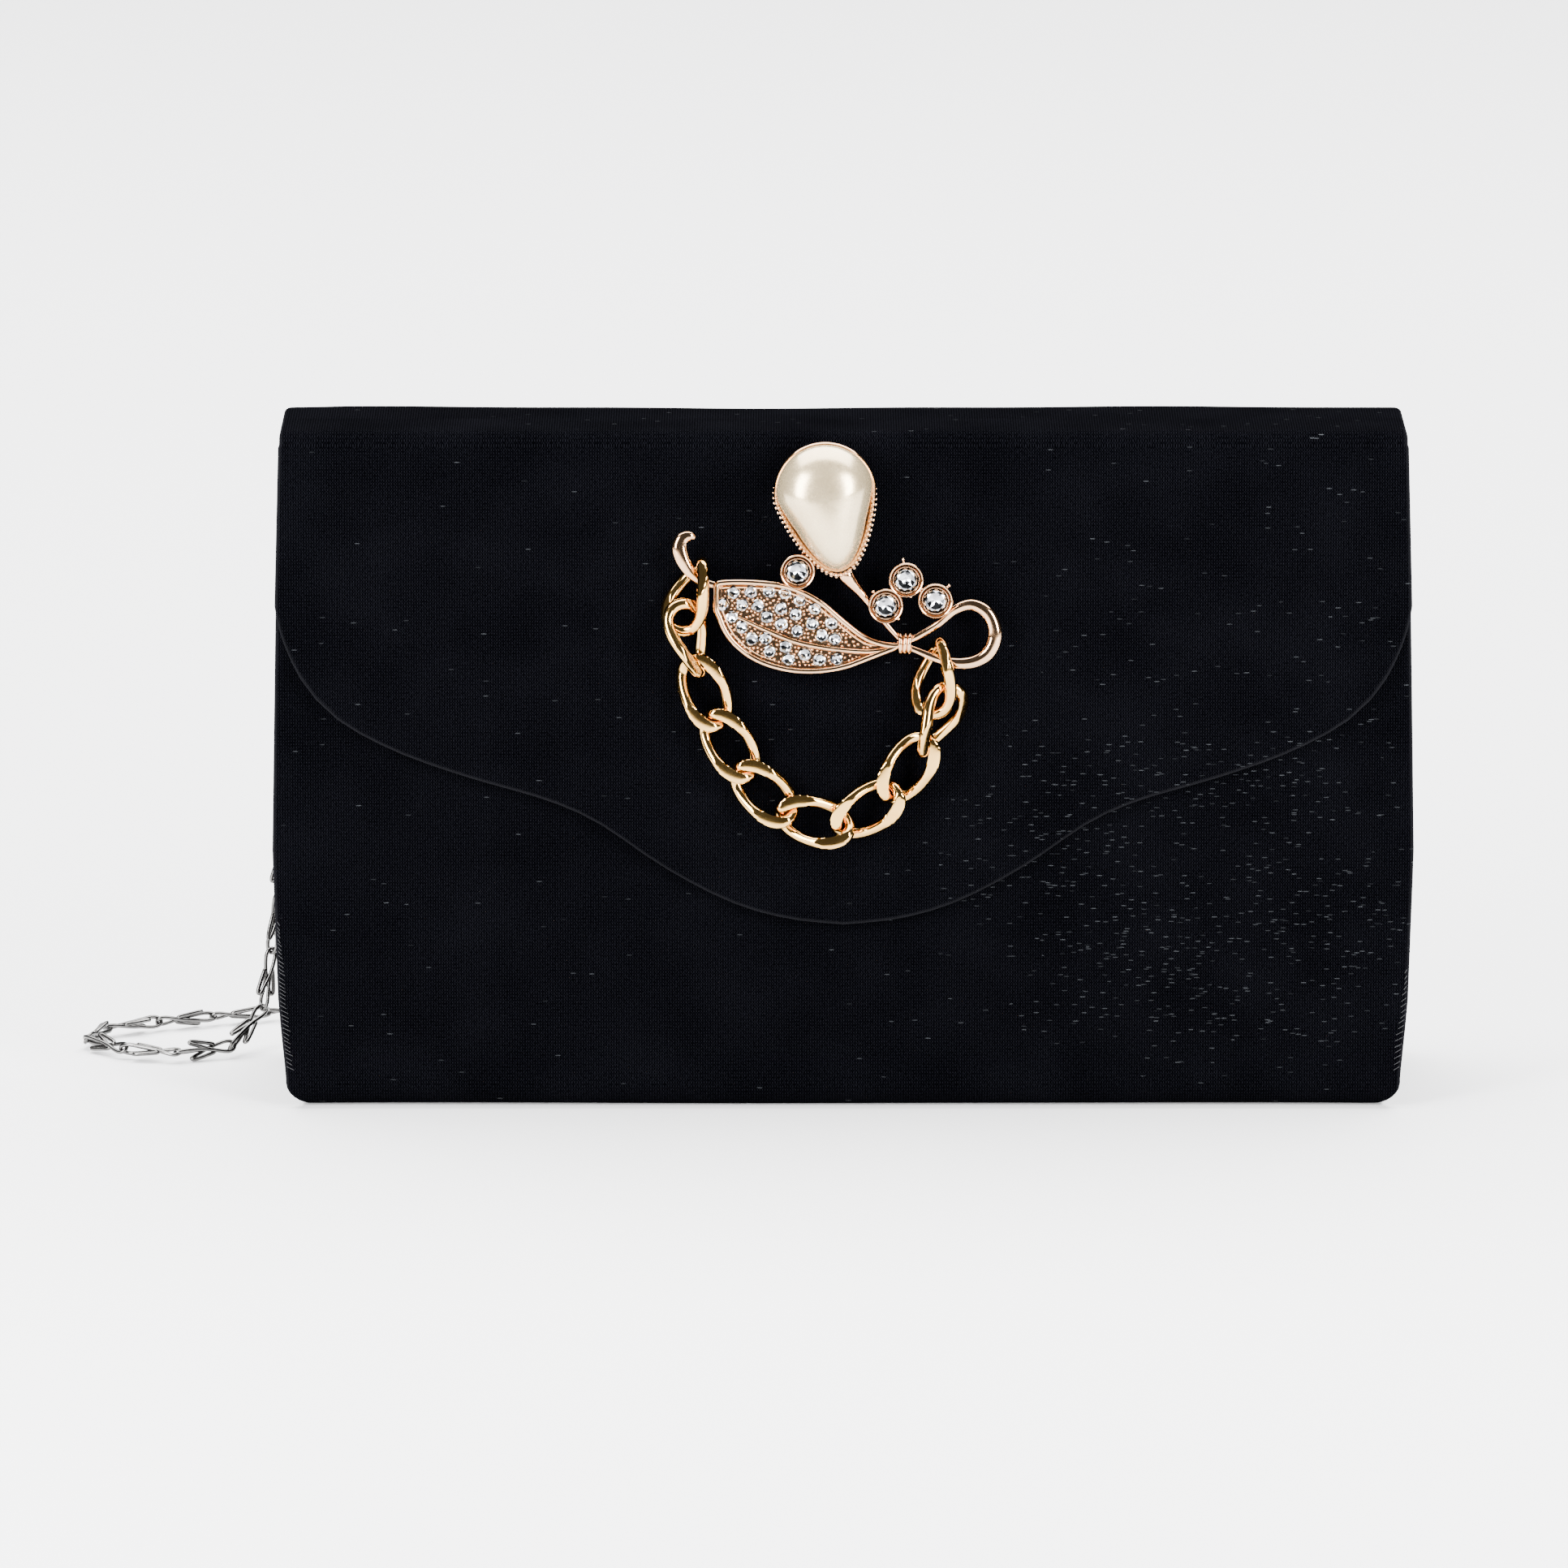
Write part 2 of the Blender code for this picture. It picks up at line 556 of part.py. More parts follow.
def make_ring(side, fabric, silver, back):
    """A fabric tab sewn to the back, and the D ring that it holds."""
    word = "left" if side < 0 else "right"
    centre = side * RING_U
    radius = 2.2
    bore = RING_WIRE + 0.5
    profile = []
    for i in range(13):
        angle = math.radians(-60 - 20 * i)
        profile.append((RING_V + radius * math.sin(angle), RING_T + radius * math.cos(angle)))
    profile += [(RING_V + 2.4, -GAP - 1.4), (124.0, -GAP - 1.4), (124.0, -GAP),
                (RING_V, -GAP)]
    half = 4.5
    rings = [[(centre + x, v, t) for v, t in profile] for x in (-half, half)]
    tab = add_object(f"ring_tab_{word}", loft("tab", rings), fabric, back)
    cutter = []
    for x in (-half - 1, half + 1):
        cutter.append([(centre + x, RING_V + bore * math.sin(math.pi * k / 6),
                        RING_T + bore * math.cos(math.pi * k / 6)) for k in range(12)])
    boolean(tab, "DIFFERENCE", loft("channel", cutter))
    path = [Vector((centre + x, RING_V, RING_T)) for x in (-6.3, -2.1, 2.1, 6.3)]
    for i in range(11):
        angle = math.pi * i / 10
        path.append(Vector((centre + RING_RADIUS * math.cos(angle),
                            RING_V - 0.7 - RING_RADIUS * math.sin(angle), RING_T)))
    add_object(f"d_ring_{word}", sweep("ring", path, [RING_WIRE] * len(path), 6, closed=True),
               silver, back)


def strap_tube(name, points, silver, root):
    """A plain tube where the chain hangs and lies, on a smooth curve through its points."""
    fine = [Vector(p) for p in smooth_path(points, 8)]
    kept = [fine[0]]
    travelled = 0.0
    for before, after in zip(fine, fine[1:]):
        travelled += (after - before).length
        if travelled >= STRAP_STEP:
            kept.append(after)
            travelled = 0.0
    kept[-1 if travelled < STRAP_STEP / 2 else len(kept):] = [fine[-1]]
    curve = bpy.data.curves.new(name, "CURVE")
    curve.dimensions = "3D"
    spline = curve.splines.new("POLY")
    spline.points.add(len(kept) - 1)
    for point, place in zip(spline.points, kept):
        point.co = (*(place * MM), 1.0)
    curve.bevel_depth = STRAP_RADIUS * MM
    curve.bevel_resolution = 2
    curve.render_resolution_u = 0
    curve.use_fill_caps = True
    curve.materials.append(silver)
    obj = bpy.data.objects.new(name, curve)
    bpy.context.scene.collection.objects.link(obj)
    obj.parent = root


def make_coil(silver, root):
    """The outer shape of the chain's four turns: a ring with rounded edges."""
    soft = 1.6
    low, high = COIL_BOTTOM, COIL_TOP
    near, far = COIL_RADIUS - COIL_HALF, COIL_RADIUS + COIL_HALF
    section = [(far - soft, low), (far, low + soft), (far, high - soft), (far - soft, high),
               (near + soft, high), (near, high - soft), (near, low + soft), (near + soft, low)]
    steps = 36
    rings = []
    for i in range(steps):
        angle = 2 * math.pi * i / steps
        rings.append([(COIL_CENTRE[0] + r * math.cos(angle), COIL_CENTRE[1] + r * math.sin(angle),
                       z) for r, z in section])
    add_object("strap_coil", loft("strap_coil", rings, closed=True), silver, root)


# ---------------------------------------------------------------- assembly

def main():
    clear_scene()
    fabric = material("black_fabric", (0.012, 0.012, 0.018), 0.85, 0.0)
    lining = material("black_satin", (0.02, 0.02, 0.024), 0.45, 0.0)
    rose = material("rose_gold", (0.93, 0.68, 0.55), 0.12, 1.0)
    yellow = material("yellow_gold", (0.95, 0.68, 0.36), 0.12, 1.0)
    silver = material("silver_wire", (0.72, 0.72, 0.74), 0.2, 1.0)
    steel = material("snap_steel", (0.6, 0.6, 0.62), 0.3, 1.0)
    ivory = material("ivory_pearl", (0.86, 0.79, 0.66), 0.25, 0.0)
    crystal = material("crystal", (0.85, 0.88, 0.9), 0.03, 0.0)

    root = add_empty("body_frame", Matrix.Identity(4))
    back = add_empty("back_frame", BACK_FACE)
    front = add_empty("front_hinge", shifted(FRONT_FACE, FRONT_SHIFT))
    flap = add_empty("flap_hinge", shifted(FRONT_FACE, FLAP_SHIFT))
    rear_axis = shifted(BACK_FACE, Vector((0, BACK_AXIS_V, BACK_AXIS_T))).translation
    spine = add_empty("spine_hinge", Matrix.Translation(rear_axis))
    chain = add_empty("chain_hinge", shifted(FRONT_FACE, (CHAIN_LEFT + CHAIN_RIGHT) / 2))

    make_bottom(fabric, lining, root)
    make_back(fabric, lining, back)
    make_front(fabric, lining, steel, front)
    make_gusset("gusset_left", -1, fabric, root)
    make_gusset("gusset_right", 1, fabric, root)
    make_spine(fabric, spine)
    make_flap(fabric, lining, steel, flap)
    make_brooch(rose, ivory, crystal, flap)
    make_links(yellow, chain, Matrix.Translation(-(CHAIN_LEFT + CHAIN_RIGHT) / 2))
    for side in (-1, 1):
        make_ring(side, fabric, silver, back)
    strap_tube("strap_left", STRAP_LEFT, silver, root)
    strap_tube("strap_right", STRAP_RIGHT, silver, root)
    make_coil(silver, root)


main()
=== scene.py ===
"""Looks of the evening bag: fabric covers, lining, jewelled brooch, curb chain and strap chain.

Sizes are in millimetres until a mesh is made; the frame is in metres.
(u, v, w) are coordinates of the leaning front: u along X, v up the face, w outward.
(u, v, t) are the same for the back, with t inward.
"""
import random
from math import atan2, copysign, cos, hypot, pi, radians, sin, sqrt, tan, tau

import bmesh
import bpy
import numpy as np
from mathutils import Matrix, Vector


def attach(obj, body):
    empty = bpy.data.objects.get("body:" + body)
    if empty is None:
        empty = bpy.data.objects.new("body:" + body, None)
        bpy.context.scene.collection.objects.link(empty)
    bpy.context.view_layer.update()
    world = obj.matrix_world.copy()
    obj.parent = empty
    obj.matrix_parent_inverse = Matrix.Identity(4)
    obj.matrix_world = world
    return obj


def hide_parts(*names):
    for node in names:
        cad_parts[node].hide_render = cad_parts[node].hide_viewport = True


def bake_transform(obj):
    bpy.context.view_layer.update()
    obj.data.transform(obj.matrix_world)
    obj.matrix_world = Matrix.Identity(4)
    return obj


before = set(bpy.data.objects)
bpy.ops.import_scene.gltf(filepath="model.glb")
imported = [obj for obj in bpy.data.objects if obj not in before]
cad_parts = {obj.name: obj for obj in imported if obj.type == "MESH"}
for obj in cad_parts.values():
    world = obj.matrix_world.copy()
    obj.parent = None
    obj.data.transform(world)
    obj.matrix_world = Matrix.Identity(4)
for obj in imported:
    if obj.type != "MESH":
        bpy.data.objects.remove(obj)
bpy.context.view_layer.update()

MM = 0.001
DEPTH = 50.0
PANEL = 3.0                     # thickness of a covered board
CORNER = 6.0                    # radius of the bottom edges, seen from the side
FRONT_LEAN = radians(4.76)
BACK_LEAN = radians(5.05)
HALF_WIDTHS = ((6.0, 107.6), (20.0, 109.0), (50.0, 110.0), (95.0, 109.2), (132.0, 108.2))
TOP_WIDE = HALF_WIDTHS[-1][1]
FULL_WIDE = 110.0
SIDE_ROUND = 4.5                # corner radius seen from the front, at the base
TOP_Z = 130.2                   # height of the middle of the top's cloth
FRONT_TOP_V = 127.5
FRONT_AXIS_W = 1.9
BACK_AXIS_T = 1.5
FRONT_AXIS_V = (TOP_Z - FRONT_AXIS_W * sin(FRONT_LEAN)) / cos(FRONT_LEAN)
BACK_AXIS_V = (TOP_Z + BACK_AXIS_T * sin(BACK_LEAN)) / cos(BACK_LEAN)
SPINE_SEAM_Y = -2.0             # where the front and rear halves of the top meet
FOLD_ROUND = 2.0                # radius of the cloth's middle at the two fold lines
MIDDLE = 1.5                    # depth of a cover's middle below the panel's face
RIM = 1.5                       # roundness of folded fabric edges
EDGE_HIGHLIGHT_WIDTH = 0.7                      # width of the painted highlight, a paler line along folded edges
HEM = (0.0, 0.12, 0.4, 0.8, 1.3, 2.0, 3.2, 5.0, 8.0)    # rows of cloth, from an edge inward
SATIN_HEM = (0, 0.3, 1.0, 2.5, 6.0)

rng = random.Random(7)


# ---------------------------------------------------------------- coordinates

FRONT_U = Vector((1, 0, 0))
FRONT_V = Vector((0, sin(FRONT_LEAN), cos(FRONT_LEAN)))
FRONT_N = Vector((0, -cos(FRONT_LEAN), sin(FRONT_LEAN)))
BACK_V = Vector((0, -sin(BACK_LEAN), cos(BACK_LEAN)))
BACK_IN = Vector((0, -cos(BACK_LEAN), -sin(BACK_LEAN)))
UP = Vector((0, 0, 1))


def front(u, v, w):
    """World point, in millimetres, of a point of the leaning front."""
    return Vector((u, -DEPTH / 2 + v * sin(FRONT_LEAN) - w * cos(FRONT_LEAN),
                   v * cos(FRONT_LEAN) + w * sin(FRONT_LEAN)))


def back(u, v, t):
    return Vector((u, DEPTH / 2 - v * sin(BACK_LEAN) - t * cos(BACK_LEAN),
                   v * cos(BACK_LEAN) - t * sin(BACK_LEAN)))


def half_width(v):
    for (v0, w0), (v1, w1) in zip(HALF_WIDTHS, HALF_WIDTHS[1:]):
        if v <= v1:
            return w0 + (w1 - w0) * max(v - v0, 0.0) / (v1 - v0)
    return TOP_WIDE


def spline(corners, parts):
    """Steps of a Catmull-Rom curve between the middle two of four corners."""
    steps = []
    for k in range(parts):
        t = k / parts
        weights = (-0.5 * t + t * t - 0.5 * t ** 3, 1 - 2.5 * t * t + 1.5 * t ** 3,
                   0.5 * t + 2 * t * t - 1.5 * t ** 3, -0.5 * t * t + 0.5 * t ** 3)
        steps.append(tuple(sum(q * w for q, w in zip(column, weights))
                           for column in zip(*corners)))
    return steps


def smooth_path(points, parts):
    """A smooth curve through tuples of any length, with parts steps between points."""
    ends = [points[0], *points, points[-1]]
    path = [p for i in range(len(points) - 1) for p in spline(ends[i:i + 4], parts)]
    return path + [tuple(points[-1])]


def closed_path(points, parts):
    count = len(points)
    return [p for i in range(count)
            for p in spline([points[(i + k - 1) % count] for k in range(4)], parts)]


def curve_at(points, u):
    """Height of a curve of (u, v) points at u."""
    return float(np.interp(u, [p[0] for p in points], [p[1] for p in points]))


def spaced(near, far, fine=HEM, middle=22):
    """Places from near to far, close together at both ends."""
    length = far - near
    inner = [fine[-1] + (length - 2 * fine[-1]) * k / middle for k in range(1, middle)]
    return [near + p for p in (*fine, *inner, *(length - d for d in reversed(fine)))]


def columns(half, fine, middle):
    """Places from -half to half, spaced as they are over the bag's full width."""
    return [s / FULL_WIDE * half for s in spaced(-FULL_WIDE, FULL_WIDE, fine, middle)]


SIDES = columns(1.0, HEM, 48)


def ripple(x, y, scale, seed):
    """A smooth irregular wave between about -1 and 1."""
    total = 0.0
    for k in range(1, 4):
        total += (sin(x * k / scale + seed * 1.7 * k)
                  * cos(y * k / scale * 0.83 + seed * k) / k)
    return total / 1.6


def circle(centre, across, up, radius, count, turn=0.0):
    """Points round a centre, in the plane of two directions."""
    angles = [tau * k / count + turn for k in range(count)]
    return [centre + radius * (across * cos(a) + up * sin(a)) for a in angles]


# ---------------------------------------------------------------- mesh building

def add_object(name, data):
    obj = bpy.data.objects.new(name, data)
    bpy.context.scene.collection.objects.link(obj)
    return obj


class Shape:
    """Collects points and faces of one piece, in millimetres."""

    def __init__(self):
        self.verts, self.faces, self.uvs = [], [], []
        self.painted_edge_highlight = None

    def add(self, verts, faces, uvs=None):
        base = len(self.verts)
        self.verts.extend(Vector(v) for v in verts)
        self.faces.extend(tuple(i + base for i in face) for face in faces)
        self.uvs.extend(uvs or [(v[0], v[2]) for v in verts])

    def rings(self, rings, closed=False):
        """Skin a row of rings, with a cap at both ends unless they close on themselves."""
        count = len(rings[0])
        faces = []
        for i in range(len(rings) if closed else len(rings) - 1):
            a, b = i * count, (i + 1) % len(rings) * count
            for k in range(count):
                m = (k + 1) % count
                faces.append((a + k, a + m, b + m, b + k))
        if not closed:
            faces.append(tuple(reversed(range(count))))
            faces.append(tuple((len(rings) - 1) * count + k for k in range(count)))
        self.add([point for ring in rings for point in ring], faces)

    def tube(self, path, radii, sides, closed=False, squeeze=None):
        """A swept tube; squeeze(point, centre) may move each skin point."""
        path = [Vector(p) for p in path]
        count = len(path)
        if not hasattr(radii, "__len__"):
            radii = [radii] * count
        tangents = []
        for i in range(count):
            before = path[i - 1] if closed or i > 0 else path[i]
            after = path[(i + 1) % count] if closed or i < count - 1 else path[i]
            tangents.append((after - before).normalized())
        side = tangents[0].orthogonal().normalized()
        across = []
        for tangent in tangents:
            side = (side - tangent * side.dot(tangent)).normalized()
            across.append(side)
        turn = 0.0
        if closed:
            last = (side - tangents[0] * side.dot(tangents[0])).normalized()
            turn = atan2(tangents[0].dot(last.cross(across[0])), last.dot(across[0]))
        rings = []
        for i, (point, tangent, side) in enumerate(zip(path, tangents, across)):
            ring = circle(point, side, tangent.cross(side), radii[i], sides, turn * i / count)
            rings.append([squeeze(place, point) for place in ring] if squeeze else ring)
        self.rings(rings, closed)

    def drawn(self, points, parts, sides, squeeze=None):
        """A tube along a smooth curve of (u, v, w, radius) points of the front."""
        path = smooth_path(points, parts)
        self.tube([front(*p[:3]) for p in path], [p[3] for p in path], sides, squeeze=squeeze)

    def turned(self, profile, centre, steps):
        """Turn (radius, height) pairs about the front's outward direction at a centre."""
        self.rings([circle(centre + FRONT_N * height, FRONT_U, FRONT_V, radius, steps)
                    for radius, height in profile])

    def ball(self, centre, radius, steps):
        profile = []
        for i in range(steps // 2 + 1):
            angle = -pi / 2 + pi * i / (steps // 2)
            profile.append((max(radius * cos(angle), radius * 0.02),
                            radius * sin(angle)))
        self.turned(profile, centre, steps)

    def build(self, name, mat, smooth=50, merge=None):
        """Make the object. Edges of more than smooth degrees stay sharp; None rounds them all
        and 0 keeps every facet flat."""
        mesh = bpy.data.meshes.new(name)
        mesh.from_pydata([v * MM for v in self.verts], [], self.faces)
        mesh.materials.append(mat)
        layer = mesh.uv_layers.new(name="cloth")
        for loop in mesh.loops:
            u, v = self.uvs[loop.vertex_index]
            layer.data[loop.index].uv = (u * MM, v * MM)
        if self.painted_edge_highlight:
            mesh.attributes.new("painted_edge_highlight", "FLOAT", "POINT").data.foreach_set("value", self.painted_edge_highlight)
        bm = bmesh.new()
        bm.from_mesh(mesh)
        if merge:
            bmesh.ops.remove_doubles(bm, verts=bm.verts, dist=merge * MM)
        bmesh.ops.recalc_face_normals(bm, faces=bm.faces)
        bm.to_mesh(mesh)
        bm.free()
        if smooth != 0:
            mesh.shade_smooth()
        if smooth:
            mesh.set_sharp_from_angle(angle=radians(smooth))
        return add_object(name, mesh)


def settle(piece, body, slot, *nodes):
    """Say which body a piece rides and hide the CAD nodes it replaces. The slot argument is not
    used.
    """
    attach(piece, body)
    if nodes:
        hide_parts(*nodes)
    return piece


def cloth_solid(name, rows, half, mat, rim=RIM):
    """A closed sheet about a middle surface, given as rows of cells.

    A cell is a point, its normal, its place on the flat cloth and its distance to a folded
    edge, where both skins meet.
    """
    count, cols = len(rows), len(rows[0])
    verts, flat, painted_edge_highlight = [], [], []
    for sign in (1, -1):
        for i, row in enumerate(rows):
            thick = half[i] if hasattr(half, "__len__") else half
            for point, normal, place, near in row:
                reach = min(near / rim, 1.0)
                swell = thick * sqrt(max(1 - (1 - reach) ** 2, 0.0))
                verts.append(point + normal * (sign * swell))
                flat.append(place)
                # painted highlight: cells near a folded edge are marked to be coloured paler,
                # standing in for light caught by the rolled edge
                painted_edge_highlight.append(max(0.0, 1 - near / EDGE_HIGHLIGHT_WIDTH))
    shift = count * cols
    faces = []
    for i in range(count - 1):
        for a in range(i * cols, i * cols + cols - 1):
            b, c, d = a + 1, a + cols + 1, a + cols
            faces += [(a, b, c, d), (a + shift, d + shift, c + shift, b + shift)]
    border = list(range(cols)) + [i * cols + cols - 1 for i in range(1, count)]
    border += [(count - 1) * cols + j for j in range(cols - 2, -1, -1)]
    border += [i * cols for i in range(count - 2, 0, -1)]
    for a, b in zip(border, border[1:] + border[:1]):
        faces.append((a, a + shift, b + shift, b))
    shape = Shape()
    shape.add(verts, faces, flat)
    shape.painted_edge_highlight = painted_edge_highlight
    return shape.build(name, mat, smooth=60, merge=0.004)


# ---------------------------------------------------------------- materials

class Look:
    """A material, with short ways of adding nodes to it."""

    def __init__(self, name):
        self.mat = bpy.data.materials.new(name)
        self.mat.use_nodes = True
        self.tree = self.mat.node_tree
        self.shader = self.tree.nodes["Principled BSDF"]

    def feed(self, node, values):
        """Link or set a node's inputs, by name or number."""
        for key, value in values.items():
            if hasattr(value, "is_output"):
                self.tree.links.new(value, node.inputs[key])
            else:
                node.inputs[key].default_value = value

    def shade(self, values):
        self.feed(self.shader, values)

    def node(self, kind, values=None, **settings):
        node = self.tree.nodes.new("ShaderNode" + kind)
        for key, value in settings.items():
            setattr(node, key, value)
        self.feed(node, values or {})
        return node

    def cloth(self):
        return self.node("UVMap", uv_map="cloth").outputs[0]

    def place(self):
        return self.node("TexCoord").outputs["Object"]

    def maths(self, operation, *values):
        return self.node("Math", dict(enumerate(values)), operation=operation).outputs[0]

    def times(self, *values):
        """The product of two values, plus a third where it is given."""
        return self.maths("MULTIPLY_ADD" if len(values) == 3 else "MULTIPLY", *values)

    def noise(self, vector, scale, detail=2.0):
        values = {"Vector": vector, "Scale": scale, "Detail": detail}
        return self.node("TexNoise", values).outputs[0]

    def mix(self, factor, low, high):
        """A colour between two others, each a triple or another node's colour."""
        low, high = ((*c, 1) if isinstance(c, tuple) else c for c in (low, high))
        values = {"Factor": factor, "A": low, "B": high}
        return self.node("Mix", values, data_type="RGBA").outputs["Result"]

    def bump(self, height, strength, distance):
        values = {"Strength": strength, "Distance": distance, "Height": height}
        self.shade({"Normal": self.node("Bump", values).outputs[0]})


WARP_PITCH = 0.00049
WEFT_PITCH = 0.00059
GLINT_CELLS = (620.0, 3600.0, 1.0)      # cells per metre, along and across the weft
# x, z, half width, half height and strength of the areas where glints are made dense, a painted
# highlight
GLINT_HIGHLIGHT_AREAS = ((0.076, 0.030, 0.044, 0.018, 1.0), (0.068, 0.063, 0.036, 0.010, 0.9),
               (0.036, 0.050, 0.020, 0.010, 0.9), (0.078, 0.085, 0.042, 0.045, 0.16))


def black_fabric_material():
    """Matt black ribbed weave with a sparse scatter of metallic thread glints, made dense in four
    areas as a painted highlight.
    """
    look = Look("black_fabric_weave")
    uv = look.cloth()
    split = look.node("SeparateXYZ", {0: uv})
    warp = look.maths("SINE", look.times(split.outputs[0], tau / WARP_PITCH))
    weft = look.maths("SINE", look.times(split.outputs[1], tau / WEFT_PITCH))
    ribs = look.times(warp, 0.55, look.times(warp, weft))
    fine = look.noise(uv, 2600.0)
    look.bump(look.times(fine, 0.7, ribs), 0.55, 0.00012)
    # glints: metallic short dashes along the weft, sparse everywhere and made dense in the four
    # areas as a painted highlight
    stretch = look.node("Mapping", {"Vector": uv, "Scale": GLINT_CELLS})
    cells = look.node("TexVoronoi", {"Vector": stretch.outputs[0], "Scale": 1.0},
                      voronoi_dimensions="2D")
    chosen = look.node("SeparateColor", {0: cells.outputs["Color"]})
    spot = look.node("SeparateXYZ", {0: look.place()})
    dense = 0.0
    # each area raises the share of metallic specks there: a painted highlight, not more thread
    for x, z, wide, high, strength in GLINT_HIGHLIGHT_AREAS:
        dx = look.times(spot.outputs[0], 1 / wide, -x / wide)
        dz = look.times(spot.outputs[2], 1 / high, -z / high)
        far = look.times(dz, dz, look.times(dx, dx))
        area = look.maths("POWER", 0.37, look.times(far, far))
        dense = look.maths("ADD", look.times(area, strength), dense)
    dense = look.times(dense, 0.17, 0.006)
    dense = look.times(dense, look.noise(uv, 34.0))
    picked = look.maths("GREATER_THAN", chosen.outputs[2], look.maths("SUBTRACT", 1.0, dense))
    near = look.maths("LESS_THAN", cells.outputs["Distance"], 0.33)
    bright = look.times(chosen.outputs[1], 0.8, 0.2)
    glint = look.times(look.times(picked, near), bright)
    shade = look.times(ribs, 0.34, -0.40)
    shade = look.times(fine, 0.75, shade)
    shade = look.times(look.noise(uv, 60.0), 0.3, shade)
    colour = look.mix(shade, (0.0002, 0.0002, 0.0004), (0.0078, 0.0080, 0.0108))
    colour = look.mix(glint, colour, (0.025, 0.027, 0.030))
    # painted highlight: the marked folded edges are made paler in colour, as if catching light
    fold = look.node("Attribute", attribute_name="painted_edge_highlight").outputs["Fac"]
    colour = look.mix(look.times(fold, 0.75), colour, (0.012, 0.012, 0.014))
    look.shade({"Base Color": colour, "Roughness": look.times(glint, -0.5, 0.86),
                "Metallic": look.times(glint, 0.85), "Specular IOR Level": 0.0,
                "Sheen Weight": 0.0015, "Sheen Roughness": 0.5})
    return look.mat


def satin_material():
    """Black satin: a fine twill with soft streaks along the weft."""
    look = Look("black_satin_weave")
    stretch = look.node("Mapping", {"Vector": look.cloth(), "Scale": (300.0, 4200.0, 1.0),
                                    "Rotation": (0, 0, 0.5)})
    thread = look.noise(stretch.outputs[0], 1.0, 3.0)
    look.bump(thread, 0.3, 0.0001)
    look.shade({"Base Color": look.mix(thread, (0.002, 0.002, 0.003), (0.010, 0.010, 0.013)),
                "Roughness": look.times(thread, 0.25, 0.36),
                "Specular IOR Level": 0.12})
    return look.mat


def metal_material(name, low, high, roughness, scale, scratch):
    """Polished plating with slight cloudiness and faint scratches."""
    look = Look(name)
    place = look.place()
    cloud = look.noise(place, scale, 3.0)
    look.bump(look.noise(place, scale * 6), scratch, 0.00005)
    look.shade({"Base Color": look.mix(cloud, low, high), "Metallic": 1.0,
                "Roughness": look.times(cloud, 0.10, roughness)})
    return look.mat


def pearl_material():
    """Pearl lacquer over plastic: warm ivory with a finely mottled lustre."""
    look = Look("ivory_pearl_lacquer")
    place = look.place()
    fine = look.noise(place, 1500.0, 3.0)
    blend = look.times(fine, 0.5, look.noise(place, 120.0))
    look.bump(fine, 0.12, 0.00006)
    look.shade({"Base Color": look.mix(blend, (0.52, 0.38, 0.19), (0.76, 0.61, 0.37)),
                "Roughness": look.times(fine, 0.12, 0.20), "Metallic": 0.7,
                "Coat Weight": 0.6, "Coat Roughness": 0.12, "Coat IOR": 1.5})
    return look.mat


def crystal_material():
    """Foil-backed glass facets, a few slightly clouded, with dark and bright reflections painted
    in.
    """
    look = Look("foiled_crystal")
    # painted reflection: each small cell gets a random colour from near black to bright, standing
    # in for dark and bright facets
    painted_reflection_cells = look.node("TexVoronoi", {"Vector": look.place(), "Scale": 1300.0})
    shade = look.node("SeparateColor", {0: painted_reflection_cells.outputs["Color"]})
    look.shade({"Base Color": look.mix(shade.outputs[0], (0.06, 0.062, 0.07), (0.62, 0.63, 0.66)),
                "Roughness": look.times(shade.outputs[1], 0.08), "Metallic": 1.0,
                "Coat Weight": 0.5, "Coat Roughness": 0.02})
    return look.mat


def thread_material():
    """Grey polyester thread, its twist as fine ridges."""
    look = Look("grey_thread")
    twist = look.node("TexWave", {"Vector": look.place(), "Scale": 1300.0, "Distortion": 1.0})
    look.bump(twist.outputs[0], 0.4, 0.00005)
    look.shade({"Base Color": look.mix(twist.outputs[0], (0.004, 0.004, 0.005),
                                       (0.015, 0.015, 0.018)), "Roughness": 0.55})
    return look.mat


FABRIC = black_fabric_material()
SATIN = satin_material()
ROSE = metal_material("rose_gold_plating", (0.54, 0.30, 0.15), (0.76, 0.47, 0.27),
                      0.05, 300.0, 0.08)
YELLOW = metal_material("yellow_gold_plating", (0.66, 0.36, 0.09), (0.86, 0.53, 0.17),
                        0.05, 260.0, 0.10)
SILVER = metal_material("silver_wire_plating", (0.04, 0.039, 0.037), (0.22, 0.215, 0.21),
                        0.16, 500.0, 0.15)
STEEL = metal_material("snap_nickel", (0.50, 0.50, 0.51), (0.66, 0.66, 0.67), 0.24, 700.0, 0.2)
PEARL = pearl_material()
CRYSTAL = crystal_material()
THREAD = thread_material()


# ---------------------------------------------------------------- camera

ELEVATION = radians(12.0)
DISTANCE = 2.4
SENSOR = 36.0
FRAME_WIDTH = 0.3018            # width of the view at the front of the bag
TARGET = Vector((-0.0114, -0.0198, 0.0631))


def make_camera():
    data = bpy.data.cameras.new("camera")
    data.sensor_width = SENSOR
    data.lens = SENSOR * DISTANCE / FRAME_WIDTH
    camera = add_object("camera", data)
    view = Vector((0, -cos(ELEVATION), sin(ELEVATION)))
    camera.location = TARGET + view * DISTANCE
    camera.rotation_euler = (pi / 2 - ELEVATION, 0, 0)
    bpy.context.scene.camera = camera


# ---------------------------------------------------------------- the strap chain

